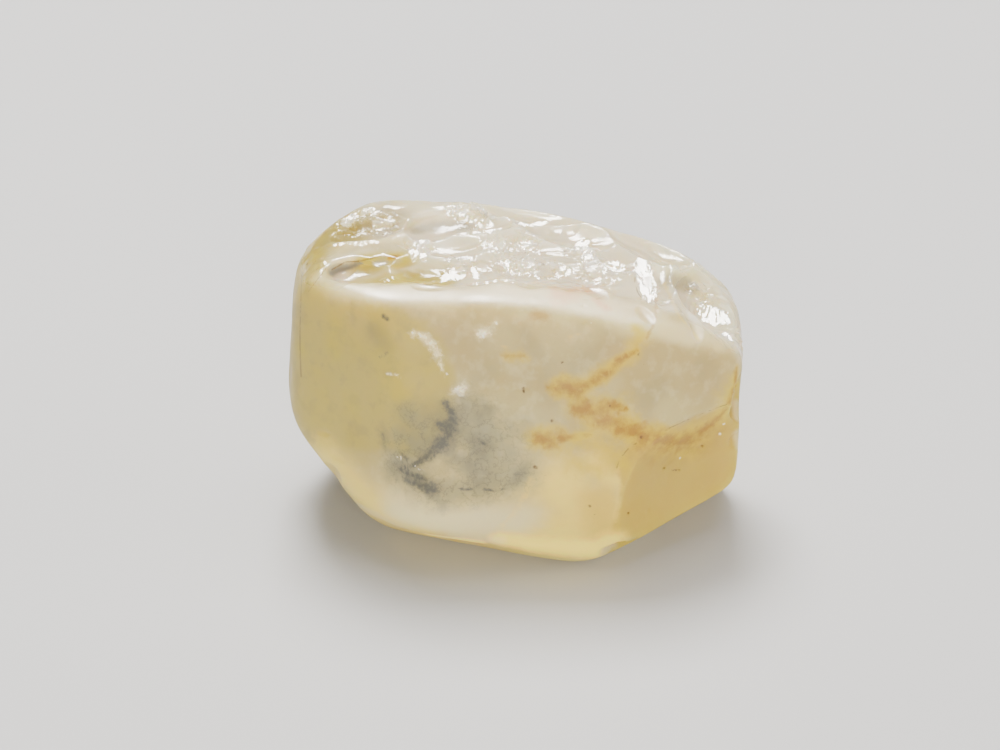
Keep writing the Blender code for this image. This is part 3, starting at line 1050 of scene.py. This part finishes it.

# %% [markdown]
# ## Where the marks are
# Stains, veils and cracks, and the painted glow, sheen, glints and shade, follow lines on the skin, so
# each family of marks is a few strokes: a path as the viewer sees it and how far the mark reaches from it,
# in millimetres. Every vertex keeps its distance to the nearest stroke of each family, counted in reaches. A
# distance passes smoothly from one vertex to the next, so the material can cut a crisp, ragged edge out of
# it, which a painted colour could not give.

# %% Strokes of the yellow, pale and milky places, and of the painted glow, sheen and glints
# Each stroke: its path, and its reach or its first and last reach.
STROKES = {
    "yellow": [
        ([(-4.62, 0.92), (-4.49, -0.53), (-4.27, -1.19)], 1.8),
        ([(-4.88, 3.30), (-4.22, 3.69)], 1.3),
        ([(-2.64, 0.79), (-2.24, -0.66)], 1.0),
        ([(-3.43, -0.13)], 1.8),
        ([(-3.54, 2.88), (-2.59, 3.03)], 0.6),
        ([(-3.03, 2.53), (-1.58, 2.53)], 0.7),
    ],
    "strong_yellow": [
        ([(-4.35, 1.32), (-4.41, 0.79)], 0.5),
        ([(-2.51, 1.32), (-2.24, 1.06)], 0.35),
        ([(-5.28, 0.66)], 0.4),
        ([(-2.77, 2.48), (-1.64, 2.43)], 0.6),
        ([(-3.54, 2.98), (-2.64, 3.06)], 0.35),
        ([(-3.91, 2.45), (-3.30, 2.48)], 0.3),
        ([(-4.96, 3.30), (-4.59, 3.77)], 0.6),
    ],
    "olive": [
        ([(-4.49, 3.56), (-3.96, 4.04), (-2.90, 4.14)], 1.0),
        ([(-3.83, 3.40), (-2.77, 3.46)], 0.5),
        ([(-1.79, -1.06), (-2.24, -1.72)], 0.9),
        ([(-3.32, 1.13), (-3.06, 0.79)], 0.45),
        ([(-2.77, 1.98), (-2.11, 1.72)], 0.4),
    ],
    # Painted glow: cream strokes along the lower rim, as if light came through it.
    "painted_glow_cream": [
        ([(-4.62, -2.11), (-3.43, -3.35), (-1.85, -4.27)], 0.9),
        ([(1.58, -2.90), (2.37, -3.83), (1.58, -4.09)], 1.3),
        ([(2.74, -3.30), (2.90, -4.09)], 0.5),
        ([(2.59, -2.30), (2.96, -2.77)], 0.7),
        ([(5.59, -3.09), (5.01, -3.51)], 0.6),
        ([(0.53, -4.14), (1.58, -4.25), (2.37, -4.09)], 0.6),
    ],
    "warm": [
        ([(3.96, -2.77), (5.28, -2.24)], 1.6),
        ([(2.64, -3.30), (2.90, -4.35)], 0.9),
    ],
    "pale": [
        ([(-2.64, -3.61), (-1.58, -3.88), (0.53, -3.83)], 0.9),
        # Painted sheen: these two strokes carry the ridge's bright band further down.
        ([(3.69, 1.29), (4.22, 1.19), (5.01, 0.98)], 0.35),
        ([(1.58, 1.98), (2.64, 1.72), (3.69, 1.32)], 0.5),
        ([(5.28, 1.98), (6.02, 1.32)], 0.6),
        ([(4.22, 2.98), (5.01, 2.61)], 0.5),
    ],
    # Painted glow: the lower rim, painted bright and made to shine.
    "glow": [
        ([(0.00, -4.33), (0.79, -4.49), (1.58, -4.56), (2.51, -4.62), (2.96, -4.43)], (0.42, 0.6)),
        ([(-1.85, -4.22), (-0.53, -4.41)], 0.25),
    ],
    # Painted glints: small bright spots that shine.
    "sparkle": [
        ([(-2.32, 1.11), (-2.06, 1.03), (-1.85, 0.90), (-1.66, 0.50)], (0.12, 0.2)),
        ([(-1.58, 0.34), (-1.48, -0.03)], 0.08),
        ([(-1.24, -0.45), (-0.95, -0.32)], (0.14, 0.22)),
        ([(-0.53, 1.06), (-0.32, 1.16)], 0.2),
        ([(-0.08, 1.37)], 0.08),
        ([(-2.96, 0.03), (-2.64, -0.03)], 0.07),
    ],
    # Partly frost, partly painted sheen: the bright band along the rounded ridge, and a few spots.
    "milk_and_sheen": [
        ([(-4.75, 2.56), (-4.49, 2.35), (-4.09, 2.19)], 0.35),
        ([(-4.09, 2.24), (-3.17, 2.14), (-2.11, 2.03), (-1.58, 2.03)], (0.35, 0.5)),
        ([(-1.58, 2.03), (-0.79, 2.24), (0.00, 2.24), (1.19, 2.24)], (0.5, 0.7)),
        ([(1.19, 2.19), (2.64, 1.98), (3.69, 1.72)], (0.75, 0.5)),
        ([(4.22, 1.40), (5.28, 0.98), (5.80, 0.87)], 0.32),
        ([(-4.09, 3.40), (-3.43, 3.56), (-2.64, 3.56)], 0.45),
        ([(-1.98, 0.98), (-1.79, 0.79)], 0.16),
        ([(-0.95, -0.40)], 0.16),
    ],
    # Painted rim light: pale edges on the right notches and along the lower edge.
    "edge": [
        ([(6.23, -0.77), (6.25, -1.13)], 0.16),
        ([(6.25, -1.50), (6.28, -1.87)], 0.16),
        ([(2.74, -4.59), (2.93, -4.49)], 0.2),
        ([(-3.91, -3.38), (-2.64, -4.01), (-1.58, -4.27), (0.00, -4.38)], 0.25),
    ],
}
print(len(STROKES), "families lie around the stone")

# %% Strokes of the veil and the shaded hollows
STROKES |= {
    "haze": [
        ([(-2.69, -1.56), (-2.74, -2.19)], 0.5),
        ([(-1.98, -1.72), (-2.51, -2.11)], 0.7),
        ([(-0.79, -1.32), (-0.13, -1.85), (-0.53, -2.37)], 1.2),
        ([(-2.64, -2.56), (-1.85, -3.03), (-0.79, -3.03), (0.00, -2.82)], 0.7),
        ([(-2.48, -1.03), (-2.11, -1.32)], 0.5),
        ([(0.53, -2.64)], 0.7),
        ([(-1.19, -1.19)], 0.5),
    ],
    "cloud": [
        ([(-1.19, -1.06), (-1.27, -1.40), (-1.48, -1.77)], 0.5),
        ([(-2.64, -2.45), (-2.32, -2.56), (-2.01, -2.93)], 0.4),
        ([(-1.42, -2.03), (-0.79, -2.45), (-0.58, -2.72)], (0.3, 0.4)),
        ([(-2.01, -2.93), (-1.79, -3.25), (-1.50, -3.46)], 0.3),
        ([(-0.98, -0.95), (-0.53, -1.00), (-0.29, -0.92)], 0.3),
        ([(-0.69, -1.72), (-0.37, -1.87), (-0.63, -2.14)], 0.3),
        ([(0.37, -2.88), (0.69, -2.40)], 0.2),
        ([(-3.14, -1.50), (-3.01, -1.87)], 0.24),
    ],
    "veil": [
        ([(-1.45, -0.74), (-1.29, -1.00)], (0.14, 0.1)),
        ([(-1.61, -1.29), (-1.42, -1.40)], 0.16),
        ([(-1.29, -0.95), (-1.24, -1.19), (-1.35, -1.50), (-1.56, -1.82)], (0.12, 0.3)),
        ([(-1.56, -1.82), (-1.74, -2.01), (-2.01, -2.22), (-2.32, -2.40)], (0.24, 0.1)),
        ([(-2.43, -2.24), (-2.64, -2.03)], 0.06),
        ([(-2.32, -2.40), (-2.59, -2.43)], 0.07),
        ([(-2.64, -2.51), (-2.32, -2.64), (-2.01, -2.74)], 0.09),
        ([(-2.48, -2.77), (-2.11, -2.93), (-1.74, -3.03)], (0.12, 0.22)),
        ([(-1.16, -2.93), (-0.95, -3.03), (-0.74, -3.01)], 0.05),
        ([(-0.42, -3.01), (-0.16, -3.06), (0.13, -2.98)], 0.05),
        ([(-3.14, -1.45), (-3.03, -1.87)], 0.06),
        ([(-0.63, -1.72), (-0.37, -1.82)], 0.05),
        ([(-3.09, 1.56), (-2.96, 1.48)], 0.07),
        ([(-3.17, 0.47), (-2.98, 0.58)], 0.05),
    ],
    "shade": [
        ([(-3.22, 2.93), (-2.69, 3.06)], 0.2),
        ([(-2.27, 3.80), (-1.85, 3.91), (-0.90, 3.93)], (0.2, 0.35)),
        ([(4.43, 2.48), (5.01, 2.37)], 0.4),
    ],
    # Painted shade: the dark crescent at the left end of the pit.
    "pit_shade": [
        ([(-4.43, 2.72), (-4.22, 2.82), (-3.91, 2.88)], (0.26, 0.14)),
        ([(-3.91, 2.88), (-3.64, 2.96)], (0.12, 0.06)),
    ],
}
print(len(STROKES), "families, with the veil")

# %% Strokes of rust along the cracks
STROKES |= {
    "rust": [
        ([(3.59, 0.63), (3.43, 0.55), (3.11, 0.37), (2.93, 0.13)], (0.07, 0.13)),
        ([(2.93, 0.13), (2.69, -0.03), (2.43, -0.18)], (0.13, 0.17)),
        ([(2.27, -0.26), (2.06, -0.32), (1.74, -0.26), (1.48, -0.34)], (0.16, 0.24)),
        ([(1.79, -0.34), (2.01, -0.55), (2.22, -0.66)], (0.18, 0.12)),
        ([(2.01, -0.87), (2.32, -0.95), (2.69, -0.92)], (0.24, 0.3)),
        ([(2.69, -0.79), (3.01, -0.84), (3.32, -0.90)], (0.2, 0.08)),
        ([(2.45, -1.29), (2.80, -1.24), (3.17, -1.29)], (0.12, 0.2)),
        ([(3.11, -1.37), (3.51, -1.48), (3.85, -1.64)], (0.26, 0.34)),
        ([(4.14, -1.72), (4.46, -1.77), (4.80, -1.77), (5.07, -1.72)], (0.34, 0.44)),
        ([(5.17, -1.61), (5.59, -1.29), (5.96, -0.90)], (0.26, 0.12)),
        ([(6.07, -0.71), (6.20, -0.29), (6.25, 0.18)], (0.14, 0.1)),
        ([(0.95, -1.66), (1.21, -1.69), (1.42, -1.72)], (0.22, 0.28)),
        ([(1.53, -1.66), (1.98, -1.64), (2.37, -1.58)], (0.12, 0.08)),
        ([(-2.88, 3.11), (-2.74, 3.14)], 0.12),
    ],
    "halo": [
        ([(3.72, 0.98), (3.43, 0.55), (2.88, 0.18), (2.43, -0.18), (1.58, -0.29)], 0.3),
        ([(1.95, -0.55), (2.43, -0.90), (3.11, -0.87)], 0.5),
        ([(2.48, -1.35), (3.51, -1.50), (4.46, -1.72), (5.78, -1.19), (6.15, -0.40)], 0.5),
        ([(2.22, -1.77), (2.77, -1.93), (3.17, -2.30)], (0.5, 0.7)),
        ([(1.06, -1.66), (1.48, -1.72)], 0.4),
        ([(1.90, -2.30), (2.59, -2.51)], 0.4),
        ([(3.59, 1.24), (3.75, 1.03)], 0.2),
        ([(0.11, 0.53), (0.63, 0.47)], 0.18),
    ],
    "stain": [
        ([(3.59, -1.82), (4.22, -2.03), (5.28, -1.82), (5.86, -1.29)], (0.7, 0.6)),
        ([(2.37, -1.72), (2.96, -1.98), (3.22, -2.40)], 0.45),
        ([(1.58, -0.34), (2.01, -0.77)], 0.3),
    ],
    "blush": [
        ([(1.58, 1.98), (1.93, 2.24), (2.37, 2.24)], 0.4),
        ([(2.59, 1.98), (2.80, 1.74)], 0.24),
        ([(2.72, 1.85), (2.82, 1.77)], 0.2),
        ([(1.40, 2.30), (1.58, 1.93)], 0.25),
    ],
    "tan": [
        ([(1.24, 2.43), (1.98, 2.43), (2.32, 2.30), (2.48, 2.22), (2.74, 2.08)], 0.07),
        ([(2.74, 2.08), (2.43, 1.95), (2.19, 1.98)], 0.05),
        ([(0.00, 0.55), (0.32, 0.47), (0.63, 0.50)], 0.1),
        ([(4.12, 2.08), (4.12, 1.66), (4.04, 1.32), (3.88, 0.98)], 0.06),
        ([(0.90, 1.61), (1.19, 1.56)], 0.2),
    ],
}
print(len(STROKES), "families, with the rust")

# %% Strokes of cracks, specks, and flecks that are mostly painted glints
STROKES |= {
    "vein": [
        ([(0.03, -4.04), (0.32, -3.72), (0.50, -3.51), (0.69, -3.14), (0.82, -2.69)], 0.12),
        ([(3.11, -2.51), (3.17, -2.93), (3.14, -3.30), (3.03, -3.83)], 0.1),
        ([(4.35, 2.43), (4.70, 1.61), (5.25, 0.92)], 0.08),
        ([(-0.05, 0.74), (0.32, 0.74)], 0.05),
        ([(1.72, 0.79), (1.79, 0.98), (2.11, 1.08)], 0.07),
    ],
    "line": [
        ([(-5.22, 2.72), (-5.25, 2.24), (-5.28, 1.19), (-5.28, 0.66), (-5.25, -0.08)], (0.03, 0.05)),
        ([(-4.46, 2.77), (-4.09, 2.98), (-3.64, 3.01), (-3.22, 3.14), (-2.69, 3.14)], 0.035),
        ([(0.05, 3.27), (0.79, 3.22), (1.79, 3.27)], 0.03),
        ([(-1.69, 3.32), (-1.32, 3.19), (-1.00, 2.98)], 0.03),
        ([(3.59, 2.98), (3.56, 2.37), (3.69, 2.08), (3.98, 1.82)], 0.035),
        ([(4.27, -1.50), (4.93, -1.19), (5.51, -0.95), (5.99, -0.77)], 0.03),
        ([(3.69, -1.74), (3.38, -1.95), (3.14, -2.24), (3.06, -2.53)], 0.03),
        ([(-5.15, 2.37), (-4.75, 2.90)], 0.02),
        ([(-5.20, 2.59), (-4.85, 3.03)], 0.02),
        ([(-5.07, 2.19), (-4.59, 2.82)], 0.02),
    ],
    "speck": [
        ([(0.61, -0.32), (0.63, -0.45)], 0.05),
        ([(1.37, -1.21)], 0.06),
        ([(0.53, 0.05)], 0.05),
        ([(1.64, 0.32)], 0.06),
        ([(2.30, -1.16)], 0.04),
        ([(3.67, 0.55)], 0.07),
        ([(3.80, 0.29)], 0.04),
        ([(2.90, -0.82)], 0.05),
        ([(3.72, -1.64)], 0.07),
        ([(4.33, -2.45)], 0.06),
        ([(4.54, -2.51), (4.75, -2.51)], 0.04),
        ([(4.75, -2.35)], 0.04),
        ([(5.33, -1.87)], 0.06),
        ([(3.61, -2.88)], 0.05),
        ([(3.38, -3.64)], 0.06),
        ([(2.37, -3.46)], 0.06),
        ([(2.51, -3.69)], 0.04),
        ([(0.90, -2.40), (0.95, -2.45)], 0.07),
        ([(1.21, -2.64)], 0.05),
        ([(-4.38, 0.42)], 0.05),
        ([(-5.09, 2.93)], 0.06),
        ([(2.06, -0.26)], 0.04),
        ([(4.12, -1.53)], 0.04),
    ],
    # Mostly painted glints on small facets, partly white grains of the crystal.
    "fleck_and_glint": [
        ([(-0.50, 1.16), (-0.37, 1.08)], 0.05),
        ([(-0.55, 1.08), (-0.42, 0.98)], 0.03),
        ([(-0.08, 1.37)], 0.06),
        ([(-2.24, 1.06), (-2.30, 1.13)], 0.05),
        ([(-2.08, 0.92), (-2.06, 1.06)], 0.05),
        ([(-1.69, 0.84), (-1.66, 0.69)], 0.035),
        ([(-1.85, 0.98), (-1.82, 0.92)], 0.03),
        ([(-1.40, 0.03)], 0.06),
        ([(-2.98, 0.03), (-2.88, 0.03)], 0.05),
        ([(-2.64, -0.03)], 0.05),
        ([(-1.03, -0.42), (-0.95, -0.37)], 0.04),
        ([(-1.08, -0.53)], 0.03),
        ([(-1.19, -0.45)], 0.03),
        ([(-2.43, -2.40), (-2.32, -2.43)], 0.03),
        ([(-2.16, -2.48), (-2.06, -2.51)], 0.03),
        ([(-1.90, -2.08)], 0.03),
        ([(-2.74, -2.27), (-2.61, -2.24)], 0.03),
        ([(-1.19, -0.37)], 0.05),
        ([(-1.45, -0.53)], 0.05),
        ([(-4.83, 1.64)], 0.06),
        ([(-2.77, -2.16), (-2.59, -2.16)], 0.03),
        ([(-1.82, -2.08)], 0.04),
        ([(-2.01, -2.53)], 0.04),
        ([(-2.24, -2.40)], 0.03),
        ([(-2.85, -2.64)], 0.03),
        ([(4.54, -1.98)], 0.03),
        ([(4.75, -2.19)], 0.05),
        ([(5.80, -1.56)], 0.06),
        ([(3.83, -1.40)], 0.04),
        ([(5.91, -1.29)], 0.07),
        ([(2.40, 1.35)], 0.05),
        ([(0.74, 0.05)], 0.04),
    ],
}
print(sum(len(strokes) for strokes in STROKES.values()), "strokes in", len(STROKES), "families")

# %% The strokes on the hidden sides, and two outlines
BEHIND = {
    "rust": [
        ([(-2.6, 1.6), (-1.4, 0.6), (-1.2, -0.4)], (0.06, 0.14)),
        ([(2.6, -0.6), (3.6, -1.2)], (0.14, 0.06)),
    ],
    "halo": [([(-2.6, 1.6), (-1.4, 0.6), (-1.2, -0.6)], (0.3, 0.6)), ([(2.6, -0.6), (3.6, -1.2)], 0.4)],
    "haze": [([(0.6, -0.8), (2.0, -1.6)], 1.2)],
    "cloud": [([(0.8, -0.4), (1.4, -1.2), (1.9, -1.5)], 0.25)],
    "veil": [([(0.9, -0.5), (1.3, -1.1)], 0.08)],
    "yellow": [([(4.2, 0.6), (4.0, -1.4)], 1.8)],
    "warm": [([(-4.2, -0.6), (-3.6, -1.8)], 1.5)],
    # painted glow along the lower rim, behind
    "painted_glow_cream": [([(-3.0, -3.0), (2.8, -3.2)], 1.2)],
    "vein": [([(-0.4, 1.2), (0.2, -0.8), (0.0, -2.4)], 0.08)],
    "speck": [([(-0.9, -1.6)], 0.07), ([(1.9, 0.9)], 0.06), ([(3.2, 0.2)], 0.07), ([(-2.9, -0.4)], 0.06)],
    "fleck_and_glint": [([(0.9, 0.2)], 0.07), ([(-1.8, -0.9), (-1.6, -1.0)], 0.06)],
}
# The rim of the rusty break at the lower right, as seen: from its right end, along its top, and down its
# left.
BREAK_RIM = [(7.65, 0.92), (6.36, 0.13), (6.02, -0.77), (5.51, -0.95), (4.93, -1.19), (4.27, -1.50)]
BREAK_RIM += [(3.91, -1.64), (3.69, -1.74), (3.38, -1.95), (3.14, -2.24), (3.06, -2.53), (3.17, -2.93)]
BREAK_RIM += [(3.14, -3.27), (3.03, -3.77), (2.88, -4.35), (2.64, -6.99), (7.65, -6.99)]
# The outline of the clear yellow zone at the left, as seen. It runs round the stone's left end.
LENS_OUTLINE = [(-7.92, 4.62), (-5.01, 4.22), (-4.49, 1.98), (-2.64, 1.82), (-2.01, 1.40)]
LENS_OUTLINE += [(-1.56, 0.71), (-1.35, -0.08), (-1.40, -0.92), (-1.58, -1.56), (-1.95, -1.93)]
LENS_OUTLINE += [(-2.53, -2.08), (-3.43, -1.82), (-4.49, -1.87), (-7.92, -2.51)]
print("the outlines have", len(BREAK_RIM), "and", len(LENS_OUTLINE), "corners")

# %% Measure how far each vertex lies from the marks
# The farthest distance that is kept, in reaches, and the step along a stroke, in millimetres.
FARTHEST_KEPT = 4.0
STEP = 0.12
TINY = 1e-12
REACHES_SEARCHED = 3
FADES_TOWARDS_THE_SIDES = (-0.2, 0.3)


def distance_to_run(points, start, end):
    """How far each point is from a straight run, and how far along it the nearest spot lies, from 0 to 1."""
    run = end - start
    along = np.clip((points - start) @ run / max(run @ run, TINY), 0, 1)
    return np.linalg.norm(points - start - along[:, None] * run, axis=1), along


def spots_along(path, turn):
    """Places on the skin, close together, under a path as a viewer at that turn sees it."""
    path = path if len(path) > 1 else path * 2
    spots = []
    for (right, up), (next_right, next_up) in zip(path[:-1], path[1:]):
        count = max(1, round(math.hypot(next_right - right, next_up - up) / STEP))
        for i in range(count + 1):
            spot = (right + (next_right - right) * i / count, up + (next_up - up) * i / count)
            place, _ = on_the_skin(spot, turn)
            if place is not None:
                spots.append(np.array(place))
    return spots


def distance_in_reaches(points, strokes, turn=0):
    """How far each point is from the nearest stroke, counted in that stroke's reaches."""
    nearest = np.full(len(points), FARTHEST_KEPT)
    for path, reach in strokes:
        first_reach, last_reach = reach if isinstance(reach, tuple) else (reach, reach)
        spots = spots_along(path, turn)
        if len(spots) < 2:
            print("a stroke misses the stone:", path)
            continue
        margin = REACHES_SEARCHED * max(first_reach, last_reach)
        low, high = np.min(spots, axis=0) - margin, np.max(spots, axis=0) + margin
        near = np.flatnonzero(((points > low) & (points < high)).all(axis=1))
        for i, (start, end) in enumerate(zip(spots[:-1], spots[1:])):
            share = i / max(len(spots) - 2, 1)
            reach_here = first_reach + (last_reach - first_reach) * share
            away, _ = distance_to_run(points[near], start, end)
            nearest[near] = np.minimum(nearest[near], away / reach_here)
    return nearest


def distance_inside(spots, outline):
    """How far inside a closed outline each spot lies, as seen. Outside it is below 0."""
    corners = np.array(outline)
    nearest = np.full(len(spots), np.inf)
    inside = np.zeros(len(spots), bool)
    for start, end in zip(corners, np.roll(corners, -1, axis=0)):
        nearest = np.minimum(nearest, distance_to_run(spots, start, end)[0])
        crosses = (start[1] > spots[:, 1]) != (end[1] > spots[:, 1])
        with np.errstate(divide="ignore", invalid="ignore"):
            at = start[0] + (spots[:, 1] - start[1]) / (end[1] - start[1]) * (end[0] - start[0])
        inside ^= crosses & (spots[:, 0] < at)
    return np.where(inside, nearest, -nearest)


def mark_the_stone(thing):
    """Keeps on every vertex its distance to each family of strokes and to the two outlines."""
    points, normals = positions_of(thing.data), normals_of(thing.data)
    for family, strokes in STROKES.items():
        in_reaches = distance_in_reaches(points, strokes)
        behind = distance_in_reaches(points, BEHIND.get(family, []), BEHIND_TURN)
        in_reaches = np.minimum(in_reaches, behind)
        keep_on_vertices(thing.data, family, in_reaches)
        print(family, "touches", int((in_reaches < 1).sum()), "vertices")
    towards_viewer = normals @ np.array(way(0, LOOKS_DOWN_BY))
    fades = 1 - ramp(towards_viewer, *FADES_TOWARDS_THE_SIDES)
    for family, outline in (("break", BREAK_RIM), ("lens", LENS_OUTLINE)):
        outside = fades - distance_inside(in_the_view(points), outline)
        keep_on_vertices(thing.data, family, np.clip(outside, -FARTHEST_KEPT, FARTHEST_KEPT))


skin = skin_of(stone)
mark_the_stone(stone)

# %% [markdown]
# ## Back to metres, and onto the frame
# The finished mesh is scaled down to metres, so that the object itself stays unscaled at the origin. Then
# it stands in for the solid and rides with it.

# %% Place the stone
stone.data.transform(Matrix.Scale(MM, 4))
stone.data.update()
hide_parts("chrysoberyl")
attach(stone, "root")
print("the stone has", sum(len(face.vertices) - 2 for face in stone.data.polygons), "triangles")

# %% [markdown]
# ## The studio
# A pale, matt floor and soft lights. The main light hangs above and behind the stone, small and strong, so
# that it flashes in the broken facets. A wide one above it lies as a soft white band along the rounded
# front edge of the crown, and a wide fill in front keeps the near faces from going dark.

# %% Build the floor and the lights
FLOOR_SIZE = 3.0
FLOOR_COLOUR = (0.50, 0.51, 0.53, 1)
FLOOR_ROUGHNESS = 0.7


def plain_material(name, colour, roughness):
    material = bpy.data.materials.new(name)
    material.use_nodes = True
    surface = material.node_tree.nodes["Principled BSDF"]
    surface.inputs["Base Color"].default_value = colour
    surface.inputs["Roughness"].default_value = roughness
    return material


def make_floor():
    """A pale square under the stone."""
    mesh = bpy.data.meshes.new("floor")
    bm = bmesh.new()
    bmesh.ops.create_grid(bm, x_segments=1, y_segments=1, size=FLOOR_SIZE / 2)
    bm.to_mesh(mesh)
    bm.free()
    floor = bpy.data.objects.new("floor", mesh)
    floor.data.materials.append(plain_material("pale floor", FLOOR_COLOUR, FLOOR_ROUGHNESS))
    bpy.context.scene.collection.objects.link(floor)


def soft_light(name, place, size, watts, colour, lights, mirrored):
    """A square light aimed at the stone, in millimetres. It lights it, shows mirrored in it, or both."""
    data = bpy.data.lights.new(name, "AREA")
    data.size = size * MM
    data.energy = watts
    data.color = colour
    light = bpy.data.objects.new(name, data)
    light.location = Vector(place) * MM
    light.rotation_euler = (LOOKED_AT - Vector(place)).to_track_quat("-Z", "Y").to_euler()
    light.visible_diffuse = lights
    light.visible_glossy = mirrored
    bpy.context.scene.collection.objects.link(light)
    print(name, "at", place, "mm,", watts, "W")


# Each light: its name, place, size, watts and colour, and whether it lights the stone and shows mirrored
# in it.
LIGHTS = [
    ("main light", MAIN_LIGHT_AT, 60, 0.42, (1.0, 0.96, 0.90), True, True),
    ("sparkle", MAIN_LIGHT_AT, 44, 0.5, (1.0, 0.98, 0.95), False, True),
    ("sheen behind", (110, 150, 95), 100, 0.06, (1.0, 0.98, 0.96), False, True),
    ("overhead sheen", (10, 20, 170), 130, 0.2, (1.0, 0.95, 0.88), True, True),
    ("right fill", (160, -20, 50), 90, 0.12, (1.0, 0.93, 0.86), True, False),
    ("front fill", (5, -160, 30), 100, 0.48, (1.0, 0.93, 0.82), True, False),
]
STUDIO_COLOUR = (1.0, 0.97, 0.93, 1)
STUDIO_STRENGTH = 0.3

make_floor()
for light in LIGHTS:
    soft_light(*light)
world = bpy.data.worlds.new("studio")
world.use_nodes = True
world.node_tree.nodes["Background"].inputs["Color"].default_value = STUDIO_COLOUR
world.node_tree.nodes["Background"].inputs["Strength"].default_value = STUDIO_STRENGTH
bpy.context.scene.world = world
